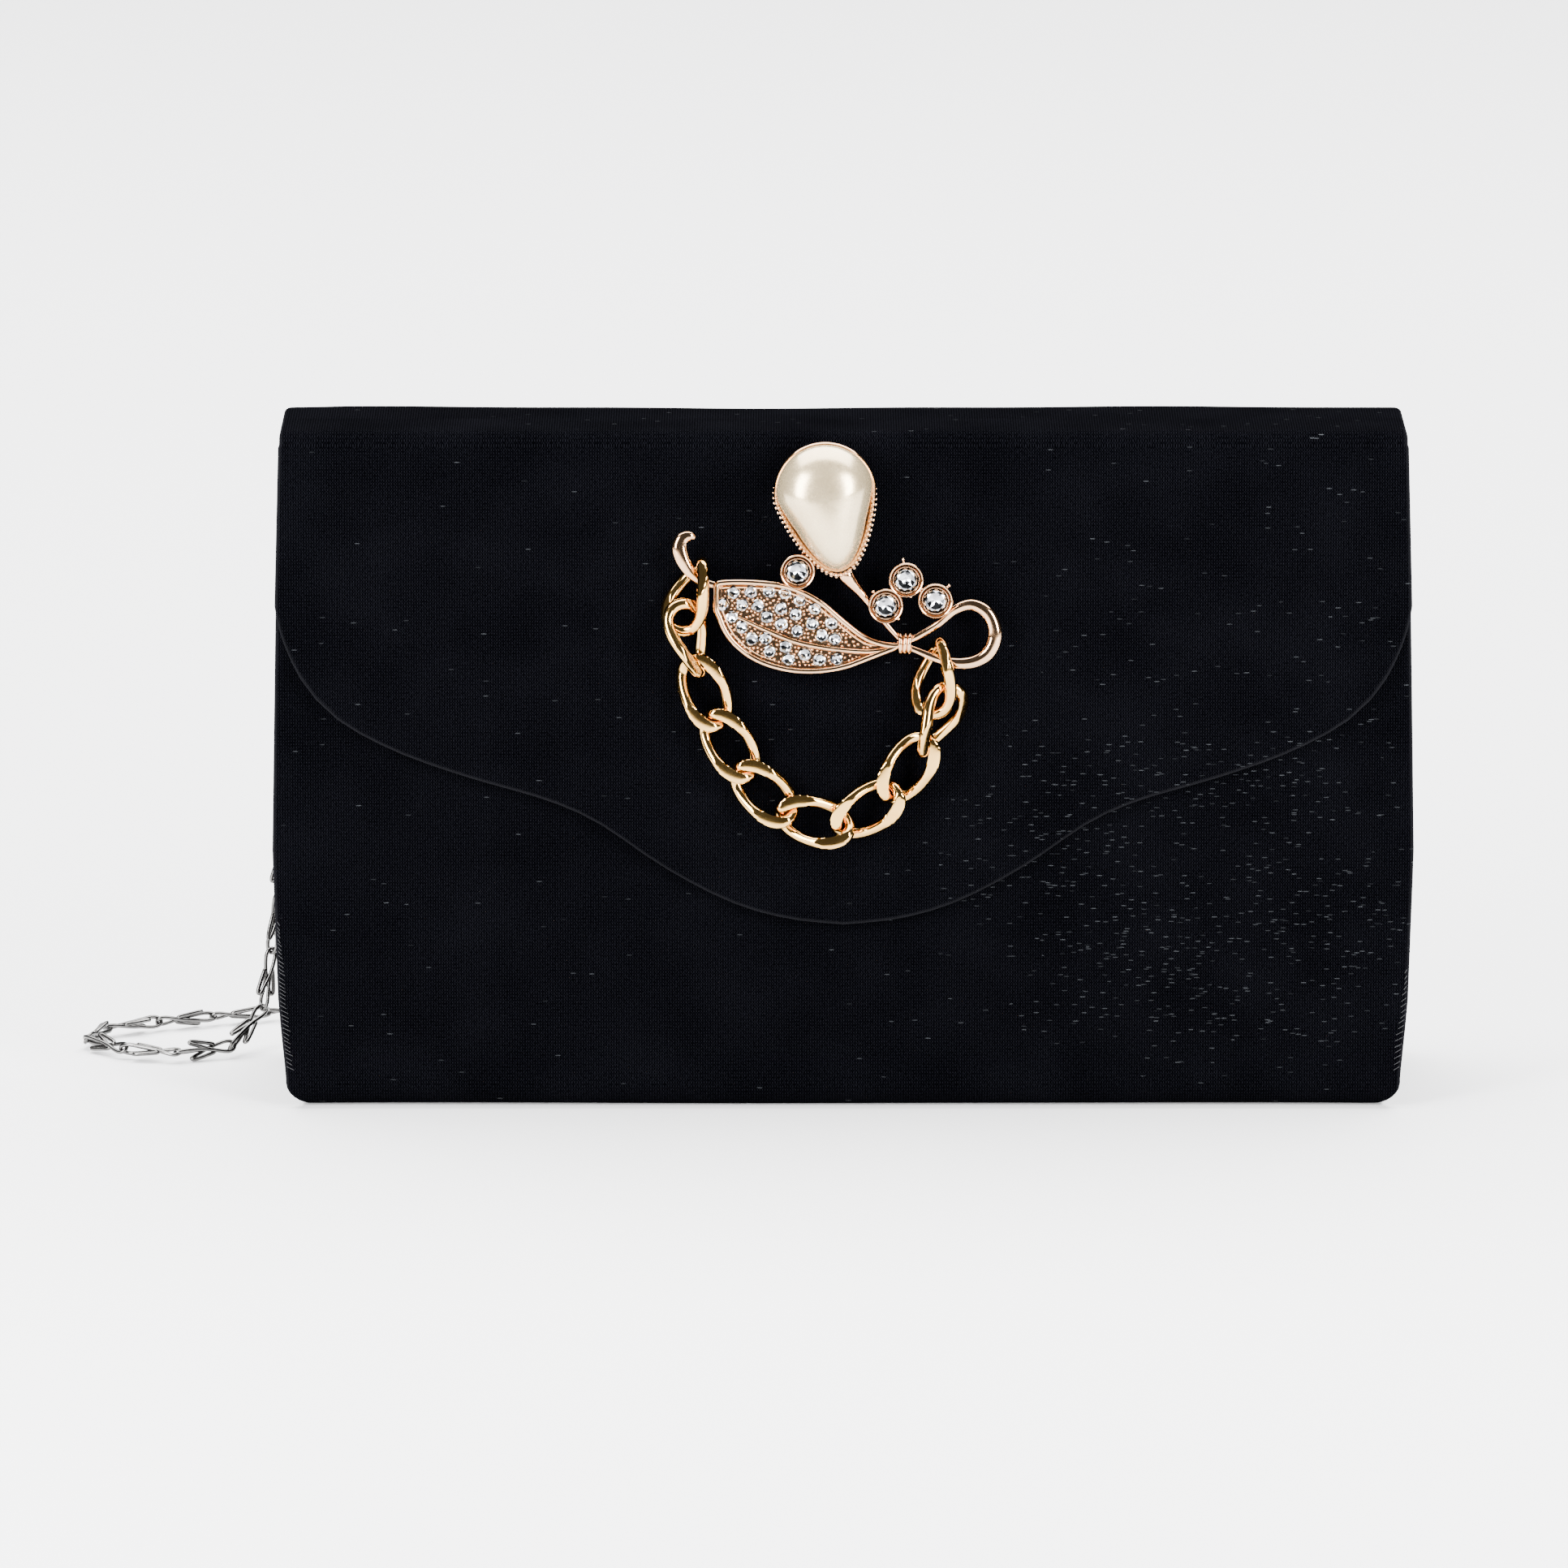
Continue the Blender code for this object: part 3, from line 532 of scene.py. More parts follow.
STRAP_LEFT = ((-99.0, 18.9, 98.4), (-100.3, 20.5, 89), (-103, 22.2, 76), (-106.3, 23.6, 60),
              (-109.4, 25.2, 42), (-111.8, 26.2, 24), (-113.2, 25.8, 12),
              (-115.6, 22.6, 4.6), (-120.6, 17.6, 2.3), (-127.5, 14.6, 2.1),
              (-135.5, 14.4, 2.1), (-143, 19, 2.1), (-149.2, 26.8, 2.1),
              (-146.6, 34.6, 2.1), (-137, 40.2, 2.1), (-127, 44.6, 2.1), (-116, 49, 2.1),
              (-102, 52.4, 2.1), (-86, 52.8, 2.1), (-67, 49.8, 2.1), (-45, 42.6, 2.1),
              (-26, 36.2, 2.1), (-14, 34.1, 2.1), (-4.8, 33.85, 2.1))
STRAP_RIGHT = ((24.8, 33.85, 6.2), (34, 34.2, 4.4), (44, 35.8, 2.5), (56, 38, 2.1),
               (72, 39.2, 2.1), (87, 37.2, 2.1), (97, 33.2, 2.3), (103, 29.8, 5.0),
               (105.4, 28.2, 13), (105.2, 27.0, 27), (104.0, 25.6, 44), (102.4, 23.9, 62),
               (100.9, 22.2, 78), (99.5, 20.4, 90), (99.0, 18.9, 98.4))
COIL_CENTRE = (10.0, 58.0)
COIL_TURNS = ((24.15, 2.1), (19.85, 2.1), (19.85, 6.3), (24.15, 6.3))   # radius and height
COIL_STEPS = 24
COIL_HOLD = 0.7                 # share of a turn before it eases to the next
CHAIN_PITCH = 11.5
CHAIN_WIRE = 0.40
CHAIN_START = 0.45              # how far a link reaches behind its place on the route
CHAIN_LINK = ((0.0, 0.0, 0.0), (0.35, 0.75, 0.0), (1.5, 1.05, 0.1), (3.4, 0.7, 0.3),
              (5.4, 0.1, 0.42), (7.2, -0.65, 0.38), (8.6, -1.15, 0.25), (9.2, -1.5, 0.1),
              (8.9, -1.82, -0.1), (7.8, -1.7, -0.15), (5.8, -1.25, -0.15), (4.6, -0.95, -0.15),
              (4.2, -0.6, -0.25), (4.8, -0.35, -0.4), (6.6, -0.1, -0.55), (8.6, 0.0, -0.8),
              (10.4, 0.0, -1.05), (11.9, 0.0, -0.75))
CHAIN_LINK_END = (12.4, 0.0, 0.0)


def strap_route():
    """The strap's whole route: down the left, over the floor, four coiled turns, up the right."""
    route = smooth_path(STRAP_LEFT, 6)
    turns = len(COIL_TURNS)
    for step in range(1, turns * COIL_STEPS):
        turn, share = step // COIL_STEPS, step % COIL_STEPS / COIL_STEPS
        radius, height = COIL_TURNS[turn]
        if turn + 1 < turns and share > COIL_HOLD:
            ease = (share - COIL_HOLD) / (1 - COIL_HOLD)
            ease = ease * ease * (3 - 2 * ease)
            radius += (COIL_TURNS[turn + 1][0] - radius) * ease
            height += (COIL_TURNS[turn + 1][1] - height) * ease
        angle = -pi / 2 + tau * share
        route.append((COIL_CENTRE[0] + radius * cos(angle),
                      COIL_CENTRE[1] + radius * sin(angle), height))
    return route + smooth_path(STRAP_RIGHT, 6)


def even_route(route, spacing):
    """Points at an even spacing along a route, and its whole length."""
    places = np.array(route)
    runs = np.linalg.norm(np.diff(places, axis=0), axis=1)
    along = np.concatenate([[0], np.cumsum(runs)])
    wanted = np.linspace(0, along[-1], int(round(along[-1] / spacing)) + 1)
    return [Vector([np.interp(s, along, places[:, k]) for k in range(3)])
            for s in wanted], along[-1]


def make_strap():
    """Bent wire links, each with an upright eye, two hairpin wings and a flat eye."""
    route, length = even_route(strap_route(), CHAIN_PITCH)
    mirrored = [(x, -y, -z) for x, y, z in reversed(CHAIN_LINK[1:])]
    outline = closed_path([*CHAIN_LINK, CHAIN_LINK_END, *mirrored], 2)
    shape = Shape()
    stretch = (length / (len(route) - 1)) / CHAIN_PITCH
    for i, (start, end) in enumerate(zip(route, route[1:])):
        along = (end - start).normalized()
        aside = along.cross(UP)
        if aside.length < 0.4:
            aside = Vector((0, 1, 0)).cross(along)
        aside.normalize()
        upward = aside.cross(along)
        tilt = radians(48 + 22 * sin(2.3 * i) + rng.uniform(-8, 8))
        wing = aside * cos(tilt) + upward * sin(tilt)
        out = along.cross(wing)
        path = [start + along * (x * stretch - CHAIN_START) + wing * y + out * z
                for x, y, z in outline]
        shape.tube(path, CHAIN_WIRE, 6, closed=True)
    strap = shape.build("strap_chain", SILVER, smooth=None)
    path = [list(p * MM) for p in even_route(strap_route(), 3.0)[0]]
    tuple(path[0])
    settle(strap, "body", "silver_wire", "strap_left", "strap_coil", "strap_right")


# ---------------------------------------------------------------- fabric covers

FLAP_SIDE = ((109.3, 98.0), (108.3, 93.0), (105.8, 86.6), (101.8, 80.4), (95.5, 74.8),
             (85.0, 69.4), (72.0, 64.8), (57.0, 60.4), (47.0, 55.9), (34.5, 47.4),
             (22.0, 40.8), (11.0, 37.5), (0.0, 36.3))
FLAP_LOW = smooth_path(FLAP_SIDE, 12)[::-1]     # the lower edge, from the middle to the side
FLAP_UPPER = [(108.9, 110.0), (108.6, 122.0), (108.2, 140.0)]
FLAP_WIDE, FLAP_SIDE_V = FLAP_SIDE[0]
FLAP_W = (1.0, 3.25)            # the flap's inner and outer faces


def profile_sheet(name, profile, half, top_hem, wave, seed):
    """A cover swept along X over a side profile of (y, z, normal y, normal z, half width)."""
    runs = [0.0]
    for (y0, z0, *_), (y1, z1, *_) in zip(profile, profile[1:]):
        runs.append(runs[-1] + hypot(y1 - y0, z1 - z0))
    rows = []
    for run, (y, z, ny, nz, wide) in zip(runs, profile):
        left = runs[-1] - run
        row = []
        for s in SIDES:
            u = s * wide
            side = wide - abs(u)
            fade = min(side / 12.0, 1.0) * min(run / 15.0, 1.0) * min(left / 15.0, 1.0)
            lift = wave * ripple(u, run, 24.0, seed) * fade
            row.append((Vector((u, y + ny * lift, z + nz * lift)), Vector((0, ny, nz)),
                        (u, run), min(side, left) if top_hem else side))
        rows.append(row)
    return cloth_solid(name, rows, half, FABRIC)


def corner_width(z):
    """Half width at height z, with the corners rounded toward the base."""
    if z >= SIDE_ROUND:
        return half_width(max(z, CORNER))
    drop = SIDE_ROUND - z
    return half_width(CORNER) - SIDE_ROUND + sqrt(SIDE_ROUND ** 2 - drop ** 2)


def base_profile(side, lean):
    """From the underside's middle round the bottom edge on one side (-1 front, 1 back)."""
    lowest = 0.35               # the width is taken no lower than this
    rows = [(side * y, MIDDLE, 0.0, -1.0, corner_width(lowest))
            for y in (0.0, 4.0, 8.0, 12.0, 16.0)]
    radius = CORNER - MIDDLE
    for k in range(9):
        angle = (pi / 2 - lean) * k / 8
        sine, cosine = sin(angle), cos(angle)
        rows.append((side * (DEPTH / 2 - CORNER + radius * sine), CORNER - radius * cosine,
                     side * sine, -cosine, corner_width(max(CORNER - CORNER * cosine, lowest))))
    return rows


def make_front_cover():
    """Front panel and the front half of the underside in one piece of fabric."""
    rows = base_profile(-1, FRONT_LEAN)
    for v in spaced(CORNER + 1.5, FRONT_TOP_V, middle=18)[2:]:
        p = front(0, v, -MIDDLE)
        rows.append((p.y, p.z, FRONT_N.y, FRONT_N.z, half_width(v)))
    cover = profile_sheet("front_cover", rows, MIDDLE, True, 0.16, 3)
    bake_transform(cover)
    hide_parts("front_panel")


def make_back_cover():
    """Back panel, the rear half of the underside and the rear half of the top."""
    rows = base_profile(1, BACK_LEAN)
    top = BACK_AXIS_V - 2.4
    for k in range(1, 27):
        v = CORNER + (top - CORNER) * k / 26
        p = back(0, v, MIDDLE)
        rows.append((p.y, p.z, -BACK_IN.y, -BACK_IN.z, half_width(v)))
    rear = back(0, BACK_AXIS_V, BACK_AXIS_T)
    y, z = rear.y - FOLD_ROUND, TOP_Z - FOLD_ROUND
    for k in range(7):
        angle = BACK_LEAN + (pi / 2 - BACK_LEAN) * k / 6
        ny, nz = cos(angle), sin(angle)
        rows.append((y + FOLD_ROUND * ny, z + FOLD_ROUND * nz, ny, nz, TOP_WIDE))
    for seam in np.linspace(y - 2.0, SPINE_SEAM_Y, 4):
        rows.append((float(seam), TOP_Z, 0.0, 1.0, TOP_WIDE))
    thick = [1.4 - 0.275 * min(max((z - 100.0) / 28.0, 0.0), 1.0) for _, z, *_ in rows]
    cover = profile_sheet("back_cover", rows, thick, False, 0.5, 5)
    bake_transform(cover)
    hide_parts("back_panel", "bottom_panel", "spine_strip")


def make_flap_cover():
    """The ogee flap and the front half of the top, with rolled edges."""
    outline = np.array([(side * u, v) for side in (-1, 1) for u, v in FLAP_LOW + FLAP_UPPER])
    axis = front(0, FRONT_AXIS_V, FRONT_AXIS_W)
    y, z = axis.y + FOLD_ROUND, TOP_Z - FOLD_ROUND
    turn_v = FRONT_AXIS_V - FOLD_ROUND
    body_rows, arc_rows = 26, 7
    rows = []
    for step in range(len(HEM) + body_rows):
        row = []
        for s in SIDES:
            u = s * FLAP_WIDE
            v = curve_at(FLAP_LOW, abs(u)) + HEM[min(step, len(HEM) - 1)]
            v += (turn_v - v) * max(step - len(HEM) + 1, 0) / body_rows
            wide = min(half_width(max(v, FLAP_SIDE_V)) + 0.1, FLAP_WIDE)
            u = s * wide if abs(s) > 0.97 else u
            near = float(np.min(np.hypot(outline[:, 0] - u, outline[:, 1] - v)))
            near = min(near, wide - abs(u), HEM[step] if step < len(HEM) else near)
            fade = min(near / 10.0, 1.0) * min((turn_v - v) / 14.0, 1.0)
            lift = 0.14 * ripple(u, v, 22.0, 3) * max(fade, 0.0)
            row.append((front(u, v, sum(FLAP_W) / 2 + lift), FRONT_N, (u, v), near))
        rows.append(row)
    top = []
    for k in range(1, arc_rows + 1):
        turn = (pi / 2 - FRONT_LEAN) * k / arc_rows
        ny, nz = cos(pi - FRONT_LEAN - turn), sin(pi - FRONT_LEAN - turn)
        top.append((y + FOLD_ROUND * ny, z + FOLD_ROUND * nz, ny, nz, turn_v + FOLD_ROUND * turn))
    for seam in np.linspace(y + 2.0, SPINE_SEAM_Y, 4):
        top.append((float(seam), TOP_Z, 0, 1, turn_v + FOLD_ROUND * 1.5 + float(seam) - y))
    for y, z, ny, nz, run in top:
        rows.append([(Vector((s * TOP_WIDE, y, z)), Vector((0, ny, nz)), (s * TOP_WIDE, run),
                      TOP_WIDE - abs(s * TOP_WIDE)) for s in SIDES])
    cover = cloth_solid("flap_cover", rows, (FLAP_W[1] - FLAP_W[0]) / 2, FABRIC)
    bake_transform(cover)
    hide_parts("flap_panel")


# ---------------------------------------------------------------- side walls and lining

def make_gusset(side):
    """A fabric side wall with a soft inward fold, sewn between the front and the back."""
    word = "left" if side < 0 else "right"
    heights = spaced(3.6, 126.5, (0.0, 0.2, 0.6, 1.2, 2.5), 22)
    steps = [k / 16 - 1 for k in range(33)]
    crease = 0.08               # half width of the rounded crease, as a share of the depth
    rows = []
    for z in heights:
        low = -DEPTH / 2 + z * tan(FRONT_LEAN) + PANEL + 0.15
        high = DEPTH / 2 - z * tan(BACK_LEAN) - PANEL - 0.15
        fold = 3.0 + 9.0 * (z - 6.3) / 120.2
        line = []
        for s in steps:
            bend = 1 - max(abs(s), crease) ** 1.25 + 0.01 * max(crease - abs(s), 0.0)
            sag = 0.35 * ripple(z, s * 10, 17.0, side) * (1 - s * s)
            line.append(Vector((side * (104.3 - fold * bend + sag),
                                (low + high) / 2 + s * (high - low) / 2, z)))
        row = []
        for k, s in enumerate(steps):
            run = line[min(k + 1, len(line) - 1)] - line[max(k - 1, 0)]
            sense = side if run.y > 0 else -side
            row.append((line[k], Vector((side * abs(run.y), -sense * run.x, 0)).normalized(),
                        (s * (high - low) / 2 * 1.15, z), min(z - heights[0], heights[-1] - z)))
        rows.append(row)
    wall = cloth_solid(f"gusset_wall_{word}", rows, 0.6, FABRIC, rim=0.8)
    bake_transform(wall)
    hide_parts(f"gusset_{word}")


LINING_WIDE, LINING_LOW, LINING_TOP = 101.3, 7.0, 125.2
LINING_IN = 3.55                # how far the linings lie in from the panels' outer faces
SATIN_RIM = 0.4
POCKET_HEM = (0, 0.3, 0.9, 1.6, 2.2, 4.0)
FACING_WIDE, FACING_TOP, FACING_INSET = 105.2, 126.4, 3.2


def pucker(u, v, seed):
    """Unevenness of a stretched lining, with small gathers along its edges."""
    edge = min(abs(abs(u) - LINING_WIDE), abs(v - LINING_TOP), abs(v - LINING_LOW))
    gather = max(0.0, 1 - edge / 9.0) * 0.7 * sin(u * 0.9 + 2 * sin(u * 0.13))
    return 0.16 * (0.6 * ripple(u, v, 16.0, seed) + gather)


def pocket_place(u, v):
    """The slip pocket, gaping a little at its mouth, with its hem and side seams pressed in."""
    mouth = max(0.0, (v - 78.0) / 22.0)
    gape = 0.35 * mouth * mouth * cos(u / 45.0 * pi / 2)
    hem = 0.14 if 97.4 < v < 98.2 or abs(abs(u) - 43.0) < 0.5 else 0.0
    return back(u, v, 4.45 + gape + 0.08 * ripple(u, v, 12.0, 6) - hem)


def make_linings():
    """Satin lining of the back, base and front, and the slip pocket."""
    wide = columns(LINING_WIDE, SATIN_HEM, 40)
    tall = spaced(LINING_LOW, LINING_TOP, SATIN_HEM, 26)
    deep = spaced(-18.6, 18.6, (0, 0.3, 1.0, 2.5), 12)
    pocket_wide = spaced(-45.0, 45.0, POCKET_HEM, 24)
    pocket_tall = spaced(40.0, 100.0, POCKET_HEM, 16)
    for name, body, node, support, flat, place, normal, cols, heights, half in (
            ("lining_back_satin", "body", "lining_back", "back_panel", (0.2026, 0.1182),
             lambda u, v: back(u, v, LINING_IN + pucker(u, v, 4)), BACK_IN, wide, tall, 0.2),
            ("lining_front_satin", "front", "lining_front", "front_panel", (0.2026, 0.1182),
             lambda u, v: front(u, v, -LINING_IN - pucker(u, v, 9)), FRONT_N, wide, tall, 0.2),
            ("lining_base_satin", "body", "lining_bottom", "bottom_panel", (0.2006, 0.0372),
             lambda u, v: Vector((u * 0.99, v, LINING_IN + 0.12 * ripple(u, v, 11.0, 2))),
             UP, wide, deep, 0.2),
            ("slip_pocket_satin", "body", "slip_pocket", "lining_back_satin", (0.09, 0.06),
             pocket_place, BACK_IN, pocket_wide, pocket_tall, 0.22)):
        rows = [[(place(u, v), normal, (u, v),
                  min(v - heights[0], heights[-1] - v, u - cols[0], cols[-1] - u))
                 for u in cols] for v in heights]
        sheet = cloth_solid(name, rows, half, SATIN, SATIN_RIM)
        settle(sheet, body, "black_satin", node)


def make_facing():
    """The satin facing inside the flap, a little in from the flap's edge."""
    us, vs = (np.array(x) for x in zip(*FLAP_LOW))
    slope = np.gradient(vs, us)
    shares = [0.0, 0.01, 0.04, 0.1] + [0.1 + 0.9 * k / 22 for k in range(1, 20)]
    rows = []
    for share in shares + [0.94, 0.975, 0.99, 1.0]:
        row = []
        for u in columns(FACING_WIDE, SATIN_HEM, 46):
            grade = min(float(np.interp(abs(u), us, slope)), 2.5)
            base = curve_at(FLAP_LOW, abs(u)) + FACING_INSET * sqrt(1 + grade ** 2)
            v = base + (FACING_TOP - base) * share
            near = min(FACING_WIDE - abs(u), (v - base) * 0.8, FACING_TOP - v)
            row.append((front(u, v, 0.66 + 0.05 * ripple(u, v, 13.0, 8)), FRONT_N, (u, v),
                        max(near, 0.0)))
        rows.append(row)
    facing = cloth_solid("flap_facing_satin", rows, 0.22, SATIN, SATIN_RIM)
    settle(facing, "flap", "black_satin", "flap_facing")


# ---------------------------------------------------------------- stitches, rings and snap

def make_stitches():
    """Slanted whip stitches that close the cover along the front's side edges."""
    shape = Shape()
    for side, last, pitch in ((-1, 37.0, 0.85), (1, 28.0, 1.1)):
        v = 8.0
        while v < last:
            wide = half_width(v) - 0.5
            reach = rng.uniform(0.9, 1.35) * min(1.0, (last + 2 - v) / 14)
            start = front(side * wide, v + 0.3, 0.02)
            end = front(side * (wide - max(reach, 0.4)), v - 0.35, 0.02)
            lift, sink = FRONT_N * 0.07, FRONT_N * 0.12
            path = [start - sink, start + lift, (start + end) / 2 + lift * 1.5, end + lift,
                    end - sink]
            shape.tube(smooth_path(path, 3), 0.06, 6)
            v += pitch + rng.uniform(-0.15, 0.15)
    settle(shape.build("front_edge_stitches", THREAD, smooth=None), "front", "black_fabric")


TAB_WIDE = 4.5                  # half width of the tab
RING_V, RING_T = 108.0, -2.6    # the D ring's bar, above the back's face
TAB_OUTER = ((113.0, 116.0, 123.6), (-2.0, -1.65, -1.6))    # v and t of the tab's outer leaf


def make_ring_tab(side):
    """A folded strip round the ring's bar, with a stitched box, and the wire D ring."""
    word = "left" if side < 0 else "right"
    centre = side * 99.0
    line = [(124.0, -0.55), (118.0, -0.55), (112.5, -0.6), (110.4, -0.85)]
    for k in range(15):
        angle = radians(60 - 20 * k)
        line.append((RING_V + 1.65 * sin(angle), RING_T + 1.65 * cos(angle)))
    fine = smooth_path(line + [(110.2, -3.55), (111.2, -2.9), *zip(*TAB_OUTER)], 3)
    rows = []
    run = 0.0
    for i, (v, t) in enumerate(fine):
        (v0, t0), (v1, t1) = fine[max(i - 1, 0)], fine[min(i + 1, len(fine) - 1)]
        run += hypot(v - v0, t - t0)
        direction = Vector((v1 - v0, t1 - t0)).normalized()
        normal = BACK_V * -direction.y + BACK_IN * direction.x
        rows.append([(back(centre + x, v, t), normal, (x, run), TAB_WIDE - abs(x))
                     for x in spaced(-TAB_WIDE, TAB_WIDE, (0, 0.15, 0.45, 0.9), 6)])
    tab = cloth_solid(f"ring_tab_fabric_{word}", rows, 0.45, FABRIC, rim=0.5)
    settle(tab, "body", "black_fabric", f"ring_tab_{word}")
    shape = Shape()
    box = [(-3.4, 122.6), (3.4, 122.6), (3.4, 113.4), (-3.4, 113.4)]
    for (x0, v0), (x1, v1) in zip(box, box[1:] + box[:1]):
        count = int(hypot(x1 - x0, v1 - v0) / 1.7)
        for k in range(count):
            path = []
            for part, sink in ((0.15, 0.06), (0.5, -0.05), (0.85, 0.06)):
                share = (k + part) / count
                v = v0 + (v1 - v0) * share
                t = float(np.interp(v, *TAB_OUTER)) - 0.45 + sink
                path.append(back(centre + x0 + (x1 - x0) * share, v, t))
            shape.tube(smooth_path(path, 3), 0.11, 6)
    settle(shape.build(f"ring_tab_stitches_{word}", THREAD, smooth=None), "body", "black_fabric")
    curve = [(x, RING_V) for x in (-5.6, -2.8, 0.0, 2.8, 5.6)] + [(6.35, 107.95), (6.85, 107.7)]
    for k in range(1, 32):
        angle = pi * k / 32
        curve.append((7.0 * cos(angle), 107.3 - 7.0 * sin(angle)))
    curve += [(-6.85, 107.7), (-6.35, 107.95)]
    shape = Shape()
    shape.tube([back(centre + x, v, RING_T) for x, v in curve], 0.78, 14, closed=True)
    ring = shape.build(f"d_ring_wire_{word}", SILVER, smooth=None)
    settle(ring, "body", "silver_wire", f"d_ring_{word}")


# name, body, CAD node and (radius, height) profile of each part of the press stud
SNAP = (("snap_socket_ring", "front", "snap_socket",
         ((6.2, -1.6), (7.0, -1.0), (7.0, -0.1), (6.8, 0.05), (6.3, 0.12), (5.6, 0.06),
          (5.0, -0.06), (4.2, -0.1), (3.5, 0.05), (3.1, 0.1), (2.75, 0.05), (2.6, -0.15),
          (2.55, -1.2))),
        ("snap_backplate_disc", "front", "snap_backplate",
         ((7.9, -2.72), (8.0, -2.8), (7.9, -2.95), (7.0, -3.0), (3.2, -3.0), (3.0, -2.85),
          (1.0, -2.85))),
        ("snap_stud_cap", "flap", "snap_stud",
         ((0.7, -0.88), (1.5, -0.8), (1.95, -0.5), (2.0, -0.2), (1.75, 0.1), (2.2, 0.3),
          (4.8, 0.25), (6.6, 0.3), (6.95, 0.45), (7.0, 0.7), (6.9, 1.05))))


def make_snap():
    """A press stud: the socket in the front, its plate, and the stud behind the flap."""
    for name, body, node, profile in SNAP:
        shape = Shape()
        shape.turned(profile, front(0, 49.0, 0), 56)
        settle(shape.build(name, STEEL, smooth=40), body, "snap_steel", node)


# ---------------------------------------------------------------- the brooch

LEAF_TOP = ((-24.6, 102.3), (-23.6, 103.3), (-17.4, 103.4), (-10.5, 102.5), (-4.7, 99.8),
            (0.0, 95.9), (4.1, 92.8), (7.5, 91.5), (10.6, 91.1))
LEAF_LOW = ((-24.6, 98.3), (-22.1, 92.6), (-17.4, 88.5), (-11.6, 86.4), (-5.8, 85.9),
            (0.0, 86.7), (5.2, 88.6), (10.6, 90.7))
MIDRIB = ((-20.4, 96.6), (-15.7, 94.4), (-9.3, 91.8), (-2.9, 90.5), (3.4, 89.9), (7.4, 90.1),
          (10.6, 90.9))
CURL = ((-23.2, 102.4, 7.3, 0.6), (-25.4, 102.8, 7.3, 0.72), (-27.6, 103.6, 7.3, 0.9),
        (-29.5, 105.3, 7.3, 1.2), (-30.8, 107.5, 7.3, 1.5), (-31.4, 109.6, 7.3, 1.55),
        (-31.1, 111.1, 7.3, 1.4), (-30.2, 111.9, 7.3, 1.15), (-29.2, 112.0, 7.3, 0.9),
        (-28.5, 111.7, 7.3, 0.35))
PAVE = ((-21.1, 101.3), (-17.8, 101.4), (-14.3, 101.4), (-11.2, 101.2), (-8.3, 99.8),
        (-5.4, 98.2), (-2.3, 95.4), (-23.2, 99.0), (-19.4, 98.9), (-16.4, 98.7), (-12.0, 98.2),
        (-9.2, 97.1), (-6.0, 95.2), (-4.2, 92.9), (-1.6, 92.3), (-14.7, 96.6), (-11.9, 95.2),
        (-8.9, 93.8), (-21.4, 96.6), (-19.5, 94.6), (-17.6, 92.3), (-15.0, 92.4), (-14.2, 89.9),
        (-11.1, 90.9), (-10.5, 88.4), (-7.4, 89.4), (-4.6, 88.3), (-1.3, 88.4))
LOOP = ((10.7, 91.6, 6.6, 0.5), (12.9, 92.0, 6.5, 0.6), (17.8, 94.8, 6.5, 0.78),
        (21.2, 97.7, 6.7, 0.98), (24.5, 98.8, 6.9, 1.18), (27.4, 97.4, 7.2, 1.32),
        (28.8, 94.8, 7.3, 1.42), (28.9, 92.0, 7.3, 1.45), (27.5, 89.3, 7.3, 1.42),
        (24.8, 87.8, 7.3, 1.3), (21.4, 87.6, 7.3, 1.1), (17.8, 88.5, 7.2, 0.86),
        (14.2, 89.9, 6.9, 0.64), (10.7, 91.3, 6.7, 0.5))
PEARL_CENTRE = Vector((-3.5, 120.4))
PEARL_TIP = Vector((-0.4, 104.5))
CUP_RADIUS = 9.8
CUP_LEVELS = ((0.82, 6.3), (0.94, 6.6), (1.0, 7.2), (1.01, 8.3), (1.0, 8.8), (0.985, 8.95),
              (0.93, 8.8), (0.9, 8.4), (0.88, 7.4), (0.4, 7.2))
STEM = ((-0.4, 106.0, 6.9, 0.5), (0.3, 104.9, 7.2, 1.7), (1.5, 103.3, 7.1, 1.45),
        (3.4, 101.0, 6.8, 0.95), (6.4, 97.3, 6.6, 0.72), (9.4, 93.6, 6.6, 0.6),
        (11.1, 91.7, 6.7, 0.5))
SETTINGS = {"single": (-8.8, 105.4), "cluster_top": (12.0, 103.8),
            "cluster_left": (8.1, 98.8), "cluster_right": (17.6, 99.8)}
BEZEL = ((2.3, 7.4), (3.0, 7.6), (3.3, 8.1), (3.36, 9.1), (3.3, 9.36), (3.17, 9.44),
         (3.02, 9.36), (2.94, 8.85), (2.74, 8.8), (2.68, 9.4), (2.56, 9.58), (2.42, 9.5),
         (2.33, 9.2), (2.28, 8.5), (1.2, 8.2))
PIPS = ((11.4, 107.7, 12.3, 104.1), (5.7, 101.5, 8.3, 99.1), (20.2, 102.7, 17.6, 100.1),
        (12.9, 100.6, 12.3, 104.1), (10.5, 96.3, 8.3, 99.1), (15.3, 97.6, 17.6, 100.1))
# radius and (u, v, w) points of the struts under the settings
STRUTS = ((0.55, (*SETTINGS["cluster_left"], 8.0), (*SETTINGS["cluster_top"], 8.0)),
          (0.55, (*SETTINGS["cluster_top"], 8.0), (*SETTINGS["cluster_right"], 8.0)),
          (0.6, (8.3, 99.1, 7.9), (6.0, 97.9, 7.2), (5.4, 98.3, 6.8)),
          (0.6, (17.6, 100.1, 7.9), (19.4, 98.4, 7.3), (20.0, 97.3, 6.8)),
          (0.7, (-8.9, 105.9, 7.9), (-9.4, 103.0, 7.5)))
